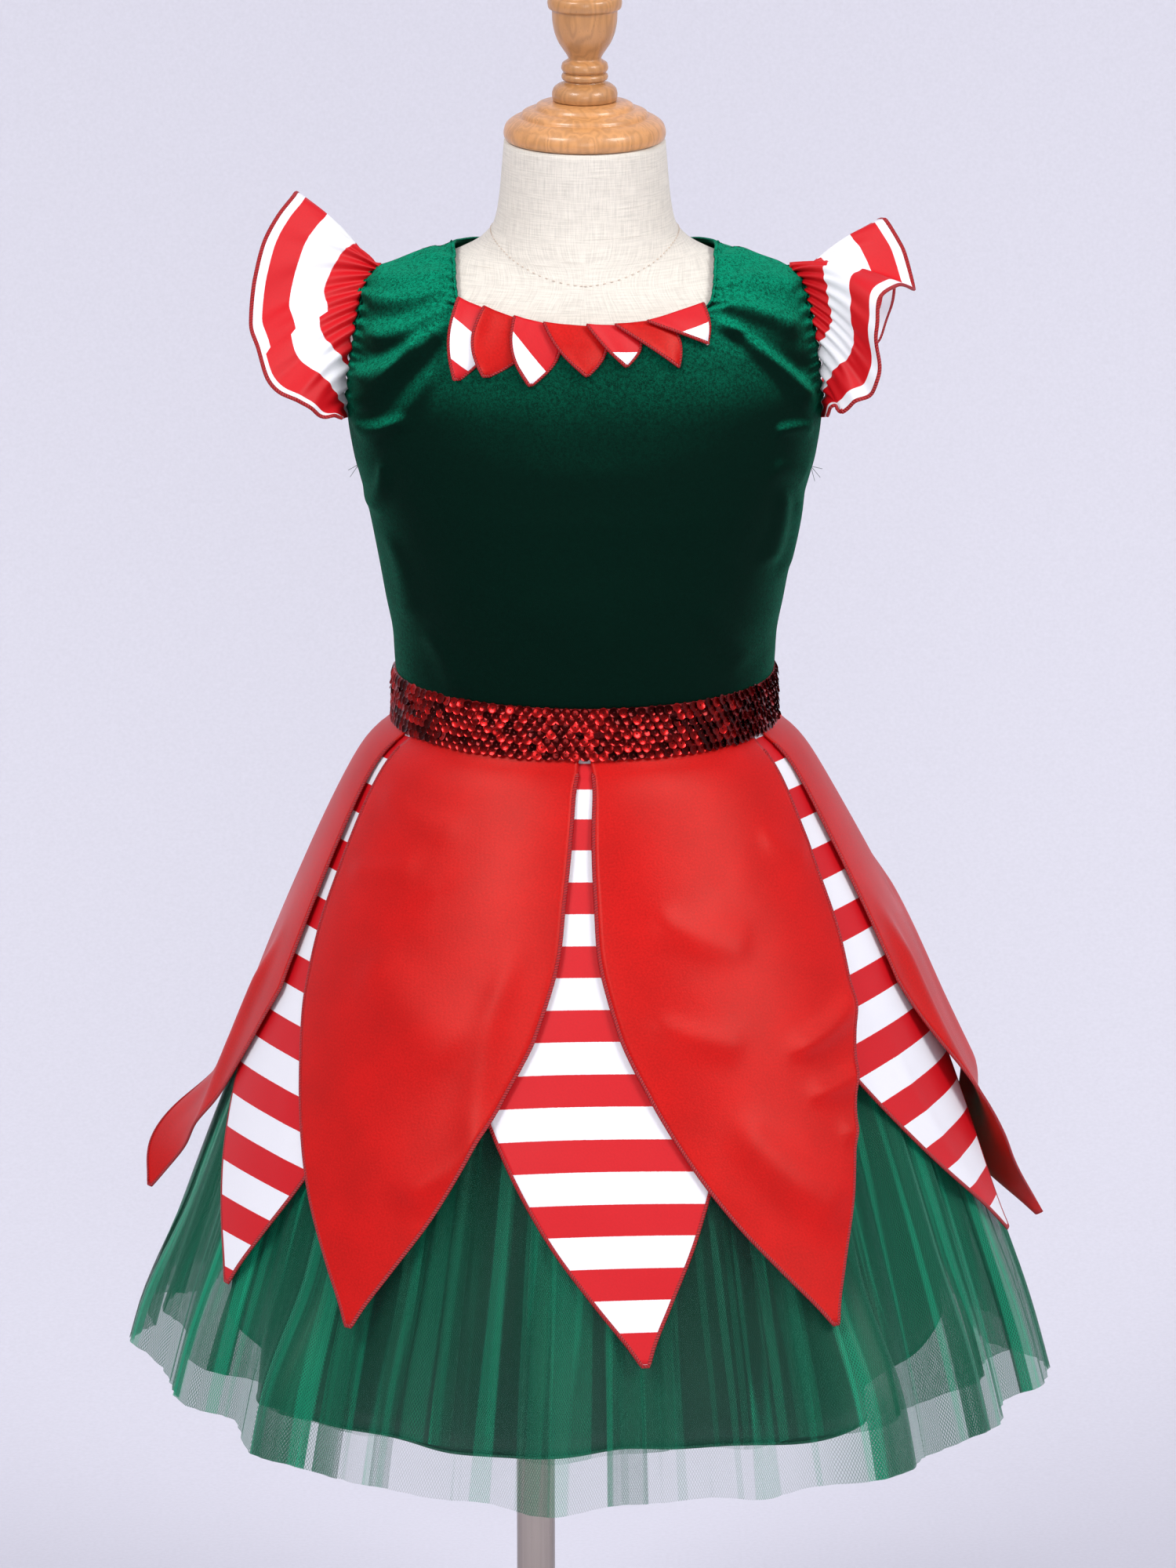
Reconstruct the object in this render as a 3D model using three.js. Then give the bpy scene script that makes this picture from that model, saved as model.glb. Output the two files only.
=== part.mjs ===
// A child's elf costume dress on a linen dress form: a velvet bodice with flutter sleeves and a row of
// neck leaves, a sequin belt, pointed satin and striped petals, two tulle skirts and a satin lining.
// Millimetres, +Z up. The front faces -Y. The origin is on the floor under the middle of the garment.
// Left and right are the viewer's, facing the front.
import * as THREE from "three";

// Heights above the floor
const FORM_BOTTOM_Z = 520;
const SEAM_Z = 687; // the waist seam
const PETAL_TOP_Z = 686.5; // where the skirt's layers and petals begin
const ARMPIT_Z = 812;
const SHOULDER_TIP_Z = 918;
const NECK_POINT_Z = 932; // where the shoulder seam meets the neckline
const NECK_TOP_Z = 990;

// Cloth
const VELVET = 1.4;
const SATIN = 1.25;
const NET = 1.1;
const TRIM = 1.5; // the belt's ribbon
const SEAM_GAP = 0.3;
const LAYER_GAP = 0.65; // between the layers of the skirt at the waist
const LOOSE_GAP = 2.2; // between the same layers where they hang free
const ON_FORM = 1.8; // from the form to the velvet's inner face
const SHOULDER_EASE = 0.8; // and this much more over the shoulders, between two heights
const EASE_LOW_Z = 885;
const EASE_HIGH_Z = 912;

// Stand
const POLE_X = -27; // the pole stands off the form's middle
const POLE_RADIUS = 10.5;
const BASE_RADIUS = 140;
const BASE_RIM_Z = 5;
const BASE_TOP_Z = 9;
const SOCKET_RADIUS = 15;
const SOCKET_TOP_Z = 45;

// The turned pieces: radius and height, from the bottom up
const CAP = [
  { r: 0, z: 990.3 }, { r: 39.5, z: 990.3 }, { r: 41.8, z: 991.6 }, { r: 42.5, z: 994.5 },
  { r: 41.5, z: 998.3 }, { r: 38, z: 1001.8 }, { r: 33.4, z: 1003.2 }, { r: 32.6, z: 1005.2 },
  { r: 26.9, z: 1007.4 }, { r: 25.2, z: 1008 }, { r: 24.2, z: 1010 }, { r: 17.5, z: 1011.2 },
  { r: 0, z: 1011.2 },
];
const FINIAL = [
  { r: 0, z: 1011.5 }, { r: 16.6, z: 1011.5 }, { r: 17.2, z: 1014.6 }, { r: 15, z: 1019.3 },
  { r: 10.2, z: 1021.6 }, { r: 12, z: 1023 }, { r: 12, z: 1025.2 }, { r: 10.6, z: 1026.2 },
  { r: 12.2, z: 1028 }, { r: 11.8, z: 1031 }, { r: 8.6, z: 1033.4 }, { r: 11.4, z: 1038 },
  { r: 15.2, z: 1045.5 }, { r: 17, z: 1054 }, { r: 17.2, z: 1058.5 }, { r: 19.2, z: 1060.5 },
  { r: 19.2, z: 1065.5 }, { r: 17.2, z: 1067.5 }, { r: 15.8, z: 1073 }, { r: 10.5, z: 1079 },
  { r: 0, z: 1082 },
];
const BASE = [
  { r: 0, z: 0 },
  { r: BASE_RADIUS, z: 0 },
  { r: BASE_RADIUS, z: BASE_RIM_Z },
  { r: BASE_RADIUS - 6, z: BASE_TOP_Z },
  { r: SOCKET_RADIUS, z: BASE_TOP_Z + 2 },
  { r: SOCKET_RADIUS, z: SOCKET_TOP_Z },
  { r: 0, z: SOCKET_TOP_Z },
];
const POLE = [
  { r: 0, z: SOCKET_TOP_Z + SEAM_GAP },
  { r: POLE_RADIUS, z: SOCKET_TOP_Z + SEAM_GAP },
  { r: POLE_RADIUS, z: FORM_BOTTOM_Z - SEAM_GAP },
  { r: 0, z: FORM_BOTTOM_Z - SEAM_GAP },
];

// The form: half its width, its depths before and behind the widest line, and how square the section is
const FORM = [
  { z: 520, side: 108, front: 86, back: 86, square: 2.2 },
  { z: 560, side: 111, front: 88, back: 89, square: 2.2 },
  { z: 600, side: 108, front: 87, back: 86, square: 2.2 },
  { z: 640, side: 99, front: 83.5, back: 77, square: 2.1 },
  { z: 667, side: 92, front: 79, back: 68, square: 2 },
  { z: 687, side: 90.6, front: 78, back: 65.5, square: 2 },
  { z: 697, side: 93.2, front: 80.2, back: 68.2, square: 2 },
  { z: 707, side: 97.5, front: 84, back: 72.5, square: 2.05 },
  { z: 727, side: 98.8, front: 88, back: 76.5, square: 2.1 },
  { z: 748, side: 102.6, front: 91, back: 81, square: 2.15 },
  { z: 770, side: 106.4, front: 93, back: 85, square: 2.2 },
  { z: 804, side: 113, front: 93, back: 89, square: 2.35 },
  { z: 815, side: 116, front: 92, back: 90, square: 2.4 },
  { z: 830, side: 119.7, front: 90.5, back: 90, square: 2.45 },
  { z: 845, side: 122.5, front: 88, back: 89.5, square: 2.5 },
  { z: 862, side: 124.3, front: 84.5, back: 87.5, square: 2.5 },
  { z: 885, side: 123, front: 77.5, back: 82, square: 2.35 },
  { z: 903, side: 117.5, front: 70, back: 73, square: 2.1 },
  { z: 914, side: 110.5, front: 64, back: 65, square: 1.85 },
  { z: 920, side: 102, front: 60.5, back: 60, square: 1.65 },
  { z: 926, side: 85, front: 56.5, back: 55, square: 1.55 },
  { z: 931, side: 69.5, front: 53, back: 50, square: 1.6 },
  { z: 938, side: 55, front: 49.5, back: 46.5, square: 1.85 },
  { z: 947, side: 47.6, front: 46, back: 43.5, square: 2 },
  { z: 960, side: 45, front: 43.5, back: 42, square: 2 },
  { z: 972, side: 43.8, front: 42.5, back: 41.5, square: 2 },
  { z: 990, side: 42.3, front: 41.5, back: 41, square: 2 },
];
const FORM_LEVELS = [
  520, 575, 640, 687, 706, 740, 775, 808, 824, 842, 865, 888,
  903, 912, 918, 923, 928, 932, 938, 947, 960, 990,
];
const COLUMN_CROWDING = 1.5; // over 1, a bodice's columns crowd towards the armholes
const SIDE_SEAM_ANGLE = 0.25; // each bodice panel stands back this many degrees from the side seam
const BODICE_LEVELS = [687.4, 706, 740, 775, 808, 824, 842, 865, 888, 903, 912, 918, 923, 928, 932];

// The skirt's outer face, over the red petals: half its width, and its depths as shares of that
const SKIRT = [
  { z: 318, side: 256, front: 0.93, back: 0.92 },
  { z: 373, side: 240.5, front: 0.93, back: 0.92 },
  { z: 418, side: 225, front: 0.93, back: 0.92 },
  { z: 463, side: 208.5, front: 0.93, back: 0.92 },
  { z: 508, side: 191, front: 0.92, back: 0.9 },
  { z: 552, side: 174, front: 0.91, back: 0.88 },
  { z: 596, side: 154, front: 0.9, back: 0.86 },
  { z: 640, side: 132, front: 0.88, back: 0.82 },
  { z: 657, side: 122.5, front: 0.875, back: 0.8 },
  { z: 664, side: 117.7, front: 0.873, back: 0.785 },
  { z: 671, side: 111, front: 0.872, back: 0.77 },
  { z: 677, side: 103, front: 0.873, back: 0.757 },
  { z: 680, side: 100.3, front: 0.874, back: 0.75 },
  { z: 687, side: 100.2, front: 0.874, back: 0.75 },
];
const SKIRT_LEAN = 4; // the skirt swings this far to the right below the waist
const SKIRT_LEVELS = [PETAL_TOP_Z, 677.8, 669, 650, 600, 500, 402];

// The belt's inner face, at its lower and upper edge
const BELT = [
  { z: 678.3, side: 102.5, front: 89.9, back: 77.6 },
  { z: 706, side: 101.7, front: 88.7, back: 77 },
];

// The armhole's edge in front, as an angle round the form from the middle of the front
const ARMHOLE = [
  { z: 812, angle: 90 },
  { z: 820, angle: 85 },
  { z: 834, angle: 80.5 },
  { z: 852, angle: 77.5 },
  { z: 872, angle: 75 },
  { z: 890, angle: 74.5 },
  { z: 906, angle: 79 },
  { z: 918, angle: 90 },
];

// Half the neckline, from the middle out: half its width, and its height in front and behind
const NECKLINE = [
  { share: 0, out: 0, frontZ: 903.5, backZ: 921 },
  { share: 0.25, out: 25, frontZ: 904, backZ: 922 },
  { share: 0.5, out: 50, frontZ: 906.8, backZ: 926 },
  { share: 0.65, out: 62, frontZ: 910, backZ: 928.5 },
  { share: 0.75, out: 66, frontZ: 914.5, backZ: 929.5 },
  { share: 0.88, out: 67.5, frontZ: 923, backZ: 931 },
  { share: 1, out: 68, frontZ: 932, backZ: 932 },
];

// The leaves along the neckline in the front view: where each starts and ends along the edge, its
// point, and how far its two edges bow out to the sides
const NECK_LEAVES = [
  { leaf: 1, left: [-63, 913], right: [-46, 909.5], point: [-65.5, 877], bowLeft: 4, bowRight: 7 },
  { leaf: 2, left: [-50, 910.5], right: [-31, 906.5], point: [-51, 879.5], bowLeft: 6, bowRight: 11 },
  { leaf: 3, left: [-35, 907.5], right: [-14, 904.8], point: [-28, 876], bowLeft: 5, bowRight: 7 },
  { leaf: 4, left: [-20.5, 905.5], right: [8, 904.4], point: [1, 881], bowLeft: 3, bowRight: 6 },
  { leaf: 5, left: [1, 905], right: [24, 904.6], point: [21, 885.5], bowLeft: 1, bowRight: 6 },
  { leaf: 6, left: [15, 904.8], right: [43, 907], point: [48, 884.5], bowLeft: -1, bowRight: 3 },
  { leaf: 7, left: [31, 905.6], right: [60, 912.5], point: [62.5, 894], bowLeft: -1, bowRight: 2 },
];
const LEAF_TIP_SHARE = 0.97; // a leaf's tip is cut off blunt just short of its point
const LEAF_CLOTH = 1;
const LEAF_GAP = 0.5; // from the velvet to the leaves
const LEAF_RISE = 2.4; // each leaf's left edge lies this far above its right edge, over its neighbour

// The free edge of each flutter sleeve, from its front end over the shoulder to its back end
const LEFT_FLUTTER = [
  { share: 0, out: 126.5, y: -50, z: 852 },
  { share: 0.07, out: 137, y: -55, z: 855.5 },
  { share: 0.13, out: 145, y: -57, z: 861 },
  { share: 0.19, out: 153, y: -57, z: 865 },
  { share: 0.26, out: 165, y: -51, z: 874 },
  { share: 0.32, out: 170, y: -42, z: 888 },
  { share: 0.38, out: 174, y: -33, z: 900 },
  { share: 0.43, out: 173, y: -22, z: 917 },
  { share: 0.48, out: 168, y: -14, z: 937 },
  { share: 0.53, out: 160, y: -4, z: 951 },
  { share: 0.57, out: 152.5, y: 6, z: 959 },
  { share: 0.64, out: 152, y: 26, z: 951 },
  { share: 0.72, out: 160, y: 44, z: 928 },
  { share: 0.8, out: 160, y: 57, z: 902 },
  { share: 0.88, out: 152, y: 60, z: 879 },
  { share: 0.95, out: 139, y: 57, z: 862 },
  { share: 1, out: 126.5, y: 50, z: 852 },
];
const RIGHT_FLUTTER = [
  { share: 0, out: 127, y: -48, z: 853 },
  { share: 0.05, out: 131, y: -53, z: 860 },
  { share: 0.1, out: 134, y: -55, z: 857 },
  { share: 0.17, out: 141, y: -58, z: 863 },
  { share: 0.24, out: 149, y: -60, z: 869 },
  { share: 0.3, out: 154, y: -60, z: 880 },
  { share: 0.37, out: 151, y: -59, z: 901 },
  { share: 0.43, out: 153, y: -51, z: 914 },
  { share: 0.49, out: 163, y: -36, z: 921 },
  { share: 0.545, out: 172, y: -16, z: 914 },
  { share: 0.59, out: 167, y: -2, z: 931 },
  { share: 0.64, out: 157, y: 8, z: 947 },
  { share: 0.7, out: 155, y: 23, z: 940 },
  { share: 0.77, out: 164, y: 34, z: 916 },
  { share: 0.83, out: 163, y: 43, z: 893 },
  { share: 0.89, out: 158, y: 49, z: 874 },
  { share: 0.95, out: 143, y: 50, z: 861 },
  { share: 1, out: 127, y: 46, z: 850 },
];
const FLUTTER_LOW_Z = 848; // the flutters are sewn to the armhole above this height
const FLUTTER_BULGE = 5;
const FLUTTER_ROOT = 1.2; // from the velvet to the flutter's sewn edge

// A petal's half width down its length
const PETAL = [
  { share: 0, half: 50 },
  { share: 0.12, half: 62 },
  { share: 0.25, half: 70 },
  { share: 0.37, half: 75 },
  { share: 0.47, half: 73 },
  { share: 0.58, half: 64 },
  { share: 0.7, half: 51 },
  { share: 0.8, half: 37 },
  { share: 0.9, half: 19 },
  { share: 0.97, half: 6 },
  { share: 1, half: 1.5 },
];
const FLIP_SHARE = 0.8; // a petal's point turns out below this share of its length
const PETAL_LEVELS = [PETAL_TOP_Z, 677.8, 669, 650, 600, 550, 500, 455];

// The petals: the angle from the middle of the front at the waist and at the point, how far the middle
// bows round between them, half the angle each has to itself, the point's height, its width as a share
// of the table's, and how far the point turns out and the edges lift
const PETALS = [
  { name: "red_front_left", waist: -32.9, point: -33.2, bow: -2, room: 31.3, tipZ: 398, wide: 1.01, flip: 1, lift: 0 },
  { name: "red_front_right", waist: 32, point: 33.2, bow: -4, room: 31.3, tipZ: 399, wide: 0.94, flip: 1, lift: 0 },
  { name: "red_side_left", waist: -92.3, point: -93, bow: 0, room: 22.8, tipZ: 407, wide: 0.96, flip: 15, lift: 0 },
  { name: "red_side_right", waist: 92.3, point: 91, bow: 0, room: 24.1, tipZ: 393, wide: 0.96, flip: 6, lift: 3 },
  { name: "red_back_left", waist: -150.7, point: -150, bow: 0, room: 29, tipZ: 400, wide: 0.95, flip: 3, lift: 1 },
  { name: "red_back_right", waist: 150.7, point: 152, bow: 0, room: 29, tipZ: 400, wide: 0.95, flip: 3, lift: 1 },
  { name: "striped_front", waist: 0, point: 6.8, bow: 0, room: 29.6, tipZ: 389, wide: 1, flip: 0, lift: 0 },
  { name: "striped_left", waist: -60, point: -58.2, bow: -2, room: 29.6, tipZ: 399, wide: 1.1, flip: 0, lift: 0 },
  { name: "striped_right", waist: 60, point: 79, bow: 0, room: 29.6, tipZ: 404, wide: 0.98, flip: 2, lift: 0 },
  { name: "striped_back_left", waist: -120, point: -120, bow: 0, room: 29.6, tipZ: 398, wide: 1, flip: 0, lift: 0 },
  { name: "striped_back_right", waist: 120, point: 123, bow: 0, room: 29.6, tipZ: 398, wide: 1, flip: 0, lift: 0 },
  { name: "striped_back", waist: 180, point: 178, bow: 0, room: 29.6, tipZ: 396, wide: 0.98, flip: 0, lift: 0 },
];

// The outer tulle skirt, round from the back: how far its ridges and hollows stand out at the hem, and
// how much shorter it is there
const OUTER_HEM_Z = 318;
const OUTER_FOLDS = [
  { angle: -180, out: 6, rise: 0 },
  { angle: -168, out: -8, rise: 0 },
  { angle: -155, out: 8, rise: 0 },
  { angle: -142, out: -9, rise: 0 },
  { angle: -128, out: 10, rise: 0 },
  { angle: -117, out: -7, rise: 0 },
  { angle: -105, out: 4, rise: 8 },
  { angle: -95, out: -8, rise: 12 },
  { angle: -84, out: 5, rise: 14 },
  { angle: -73, out: -9, rise: 14 },
  { angle: -62, out: 1, rise: 13 },
  { angle: -53, out: -8, rise: 12 },
  { angle: -42, out: 15, rise: 7 },
  { angle: -33, out: -6, rise: 3 },
  { angle: -25, out: 6, rise: 0 },
  { angle: -15, out: -8, rise: 0 },
  { angle: -4, out: 8, rise: 0 },
  { angle: 7, out: -6, rise: 0 },
  { angle: 15, out: 6, rise: 0 },
  { angle: 25, out: -9, rise: 0 },
  { angle: 37, out: 19, rise: 0 },
  { angle: 48, out: -10, rise: 0 },
  { angle: 58, out: 4, rise: 0 },
  { angle: 66, out: -8, rise: 0 },
  { angle: 75, out: 3, rise: 0 },
  { angle: 85, out: -9, rise: 0 },
  { angle: 96, out: 4, rise: 0 },
  { angle: 107, out: -8, rise: 0 },
  { angle: 119, out: 7, rise: 0 },
  { angle: 131, out: -9, rise: 0 },
  { angle: 143, out: 9, rise: 0 },
  { angle: 155, out: -8, rise: 0 },
  { angle: 166, out: 7, rise: 0 },
  { angle: 173, out: -6, rise: 0 },
];
const FLARE_Z = 422; // below this height the ridges swing out past the petals
const INNER_HEM_Z = 343;
const INNER_FOLDS = { count: 11, depth: 9 };
const NET_CLEAR = 3.2; // from the outer net to the inner

// The lining hangs closer in: how far inside the skirt's outer face, and its ridges and hollows round
// the hem
const LINING = [
  { z: 337, inset: 67 },
  { z: 402, inset: 55 },
  { z: 500, inset: 43 },
  { z: 600, inset: 26 },
  { z: 650, inset: 15 },
  { z: 669, inset: 11 },
  { z: 677.8, inset: 8.6 },
  { z: 687, inset: 8.6 },
];
const LINING_HEM_Z = 337;
const LINING_FOLDS = [
  { angle: -56, radius: 210 },
  { angle: -30, radius: 188 },
  { angle: -16, radius: 198 },
  { angle: 8, radius: 157 },
  { angle: 38, radius: 206 },
  { angle: 68, radius: 147 },
  { angle: 118, radius: 206 },
  { angle: 147, radius: 160 },
  { angle: 184, radius: 204 },
  { angle: 217, radius: 158 },
  { angle: 252, radius: 206 },
  { angle: 277, radius: 170 },
  { angle: 304, radius: 210 },
];

const rad = THREE.MathUtils.degToRad;
const deg = THREE.MathUtils.radToDeg;
const lerp = THREE.MathUtils.lerp;
const smooth = THREE.MathUtils.smoothstep;

// One column of a table at any key, on a monotone cubic through the rows, whose keys rise.
function read(table, key, column, at) {
  const last = table.length - 1;
  const clamp = THREE.MathUtils.clamp;
  const where = clamp(at, table[0][key], table[last][key]);
  const i = clamp(table.findLastIndex((row) => row[key] <= where), 0, last - 1);
  const slope = (k) => (table[k + 1][column] - table[k][column]) / (table[k + 1][key] - table[k][key]);
  const tangent = (k) => {
    if (k === 0) return slope(0);
    if (k === last) return slope(last - 1);
    const [before, after] = [slope(k - 1), slope(k)];
    return before * after <= 0 ? 0 : (2 * before * after) / (before + after);
  };
  const step = table[i + 1][key] - table[i][key];
  const t = (where - table[i][key]) / step;
  const ends = (2 * t - 3) * t * t;
  const steered = t * (1 - t) * (tangent(i) * (1 - t) - tangent(i + 1) * t) * step;
  return table[i][column] * (1 + ends) - table[i + 1][column] * ends + steered;
}

// A point of an oval at an angle from the middle of the front, with squared corners if asked.
function oval(side, front, back, angle, square = 2) {
  const [s, c] = [Math.sin(rad(angle)), Math.cos(rad(angle))];
  const round = (value) => Math.sign(value) * Math.abs(value) ** (2 / square);
  return [side * round(s), -(c > 0 ? front : back) * round(c)];
}

// A point of a surface moved out along the surface's normal, place(angle, z) being the surface.
function moved(place, angle, z, offset, lowZ, highZ) {
  const along = place(angle + 1, z).sub(place(angle - 1, z));
  const up = place(angle, Math.min(z + 1, highZ)).sub(place(angle, Math.max(z - 1, lowZ)));
  return place(angle, z).addScaledVector(along.cross(up).normalize(), offset);
}

function formFace(angle, z) {
  const columns = ["side", "front", "back", "square"];
  const [side, front, back, square] = columns.map((column) => read(FORM, "z", column, z));
  return new THREE.Vector3(...oval(side, front, back, angle, square), z);
}

// A point on the form, moved out by an offset.
function onForm(angle, z, offset = 0) {
  return moved(formFace, angle, z, offset, FORM_BOTTOM_Z, NECK_TOP_Z);
}

// The angle at which the form's front has this half width at this height.
function angleOut(out, z) {
  const share = Math.min(Math.abs(out) / read(FORM, "z", "side", z), 1);
  return Math.sign(out || 1) * deg(Math.asin(share ** (read(FORM, "z", "square", z) / 2)));
}

// How far the velvet's inner face stands off the form.
function offForm(z) {
  return ON_FORM + SHOULDER_EASE * smooth(z, EASE_LOW_Z, EASE_HIGH_Z);
}

// A closed wall through face(i, j, out): its inner face at out 0 and its outer face at out 1, i running
// round to the right and j running up.
function wall(face, columns, rows, round = false) {
  const across = round ? columns : columns + 1;
  const count = across * (rows + 1);
  const points = [];
  for (const out of [0, 1])
    for (let j = 0; j <= rows; j++)
      for (let i = 0; i < across; i++) points.push(face(i, j, out));
  const index = [];
  const id = (i, j) => j * across + (i % across);
  const quad = (a, b, c, d) => index.push(a, b, c, a, c, d);
  for (let j = 0; j < rows; j++)
    for (let i = 0; i < columns; i++) {
      quad(id(i, j) + count, id(i + 1, j) + count, id(i + 1, j + 1) + count, id(i, j + 1) + count);
      quad(id(i, j), id(i, j + 1), id(i + 1, j + 1), id(i + 1, j));
    }
  for (let i = 0; i < columns; i++) {
    quad(id(i, 0), id(i + 1, 0), id(i + 1, 0) + count, id(i, 0) + count);
    quad(id(i + 1, rows), id(i, rows), id(i, rows) + count, id(i + 1, rows) + count);
  }
  if (!round)
    for (let j = 0; j < rows; j++) {
      quad(id(0, j + 1), id(0, j), id(0, j) + count, id(0, j + 1) + count);
      quad(id(columns, j), id(columns, j + 1), id(columns, j + 1) + count, id(columns, j) + count);
    }
  return solid(points, index);
}

// A face for wall() from one skin, its outer side a thickness along the skin's own normals.
function thick(skin, columns, rows, thickness) {
  const within = (i, j) => skin(THREE.MathUtils.clamp(i, 0, columns), THREE.MathUtils.clamp(j, 0, rows));
  return (i, j, out) => {
    const normal = within(i + 1, j).sub(within(i - 1, j)).cross(within(i, j + 1).sub(within(i, j - 1)));
    return skin(i, j).addScaledVector(normal.normalize(), out * thickness);
  };
}

function solid(points, index) {
  const geometry = new THREE.BufferGeometry().setFromPoints(points).setIndex(index);
  geometry.computeVertexNormals();
  return geometry;
}

// A closed body through rings of points, with flat ends.
function loft(point, columns, levels) {
  const around = (z) => Array.from({ length: columns }, (_, i) => point((360 * i) / columns, z));
  const points = levels.flatMap(around);
  const ends = [levels[0], levels.at(-1)].map((z) => new THREE.Vector3(0, 0, z));
  const top = (levels.length - 1) * columns;
  const index = [];
  for (let i = 0; i < columns; i++) {
    const next = (i + 1) % columns;
    for (let j = 0; j < top; j += columns)
      index.push(j + i, j + next, j + columns + next, j + i, j + columns + next, j + columns + i);
    index.push(points.length, next, i, points.length + 1, top + i, top + next);
  }
  return solid([...points, ...ends], index);
}

// A turned body from a profile of radius and height, bottom to top.
function turned(profile, segments) {
  const points = profile.map(({ r, z }) => new THREE.Vector2(r, z));
  return new THREE.LatheGeometry(points, segments).rotateX(Math.PI / 2);
}

function mesh(name, geometry, colour, roughness, metalness = 0) {
  const material = new THREE.MeshStandardMaterial({ color: colour, roughness, metalness });
  const made = new THREE.Mesh(geometry, material);
  made.name = name;
  return made;
}

const linen = (name, geometry) => mesh(name, geometry, 0xd9d2c8, 0.95);
const wood = (name, geometry) => mesh(name, geometry, 0xc08552, 0.35);
const steel = (name, geometry) => mesh(name, geometry, 0xb8b2a8, 0.25, 1);
const velvet = (name, geometry) => mesh(name, geometry, 0x0b3d2a, 0.8);
const redSatin = (name, geometry) => mesh(name, geometry, 0xe01b1b, 0.45);
const stripedSatin = (name, geometry) => mesh(name, geometry, 0xe98a8a, 0.5);
const sequins = (name, geometry) => mesh(name, geometry, 0xa8121a, 0.2, 0.6);
const greenNet = (name, geometry) => mesh(name, geometry, 0x0f8a55, 0.7);
const greenSatin = (name, geometry) => mesh(name, geometry, 0x0c4a35, 0.6);

function dressForm() {
  const pole = new THREE.Group();
  pole.position.x = POLE_X;
  pole.add(steel("stand_base", turned(BASE, 32)), steel("stand_pole", turned(POLE, 20)));
  return [
    linen("form_torso", loft((angle, z) => onForm(angle, z), 32, FORM_LEVELS)),
    wood("form_neck_cap", turned(CAP, 24)),
    wood("form_finial", turned(FINIAL, 18)),
    pole,
  ];
}

// A bodice panel's edge as an angle: side seam, armhole and shoulder seam.
function bodiceEdge(z) {
  if (z <= ARMPIT_Z || z >= SHOULDER_TIP_Z) return 90;
  return read(ARMHOLE, "z", "angle", z);
}

// A bodice panel, blended between its four edges on the form.
function bodice(name, behind, columns) {
  const heights = BODICE_LEVELS;
  const rows = heights.length - 1;
  const face = (i, j, out) => {
    const across = (2 * i) / columns - 1;
    const half = 1 - (1 - Math.abs(across)) ** COLUMN_CROWDING;
    const topZ = read(NECKLINE, "share", behind ? "backZ" : "frontZ", half);
    const topAngle = Math.abs(angleOut(read(NECKLINE, "share", "out", half), topZ));
    const edgeAngle = bodiceEdge(heights[j]);
    const rising = smooth(j / rows, 0.45, 1); // the neckline's share in the angle, against the side's
    const onEdges = topAngle + half * (edgeAngle - 90);
    const angle = lerp(half * edgeAngle, onEdges, rising) - SIDE_SEAM_ANGLE * half;
    const z = lerp(heights[0], topZ, (heights[j] - heights[0]) / (heights[rows] - heights[0]));
    return onForm((behind ? 180 : 0) + Math.sign(across) * angle, z, offForm(z) + out * VELVET);
  };
  return velvet(name, wall(face, columns, rows));
}

function skirtFace(angle, z) {
  const side = read(SKIRT, "z", "side", z);
  const [front, back] = ["front", "back"].map((column) => side * read(SKIRT, "z", column, z));
  const [x, y] = oval(side, front, back, angle);
  return new THREE.Vector3(x + SKIRT_LEAN * smooth(SEAM_Z - z, 20, 150), y, z);
}

// A point of the skirt's outer face, moved in.
function onSkirt(angle, z, inset) {
  return moved(skirtFace, angle, z, -inset, SKIRT[0].z, SEAM_Z);
}

const hang = (z) => smooth(SEAM_Z - z, 8, 60); // 0 at the waist seam, 1 where the cloth hangs free
const layerGap = (z) => lerp(LAYER_GAP, LOOSE_GAP, hang(z));
const stripedInset = (z) => SATIN + layerGap(z) + SATIN; // to the striped petals' inner face

function petal(row) {
  const striped = row.name.includes("striped");
  const levels = [...PETAL_LEVELS, lerp(PETAL_LEVELS.at(-1), row.tipZ, 0.55), row.tipZ].reverse();
  const columns = 6;
  const face = (i, j, out) => {
    const z = levels[j];
    const share = (PETAL_TOP_Z - z) / (PETAL_TOP_Z - row.tipZ);
    const across = (2 * i) / columns - 1;
    const radius = (read(SKIRT, "z", "side", z) * (1 + read(SKIRT, "z", "front", z))) / 2;
    const half = Math.min(row.room, row.wide * deg(read(PETAL, "share", "half", share) / radius));
    const turnedOut = row.flip * (Math.max(share - FLIP_SHARE, 0) / (1 - FLIP_SHARE)) ** 2;
    const flip = turnedOut + row.lift * across ** 2 * smooth(share, 0.35, 0.8);
    const middle = lerp(row.waist, row.point, share ** 2) + row.bow * Math.sin(Math.PI * share);
    return onSkirt(middle + across * half, z, (striped ? stripedInset(z) : SATIN) - flip - out * SATIN);
  };
  return (striped ? stripedSatin : redSatin)(`petal_${row.name}`, wall(face, columns, levels.length - 1));
}

// A folded skirt's value at an angle, between the ridges and hollows of its table.
function fold(table, column, angle, ease = (share) => share) {
  const first = table[0];
  const from = ((((angle - first.angle) % 360) + 360) % 360) + first.angle;
  const i = table.findLastIndex((row) => row.angle <= from);
  const next = table[i + 1] ?? { ...first, angle: first.angle + 360 };
  const share = (from - table[i].angle) / (next.angle - table[i].angle);
  return lerp(table[i][column], next[column], ease(share));
}

// The angles of a folded skirt's columns: its ridges, its hollows and the middle between each two.
function foldColumns(table) {
  return table.flatMap(({ angle }, i) => {
    const next = table[i + 1]?.angle ?? table[0].angle + 360;
    return [angle, (angle + next) / 2];
  });
}

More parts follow.
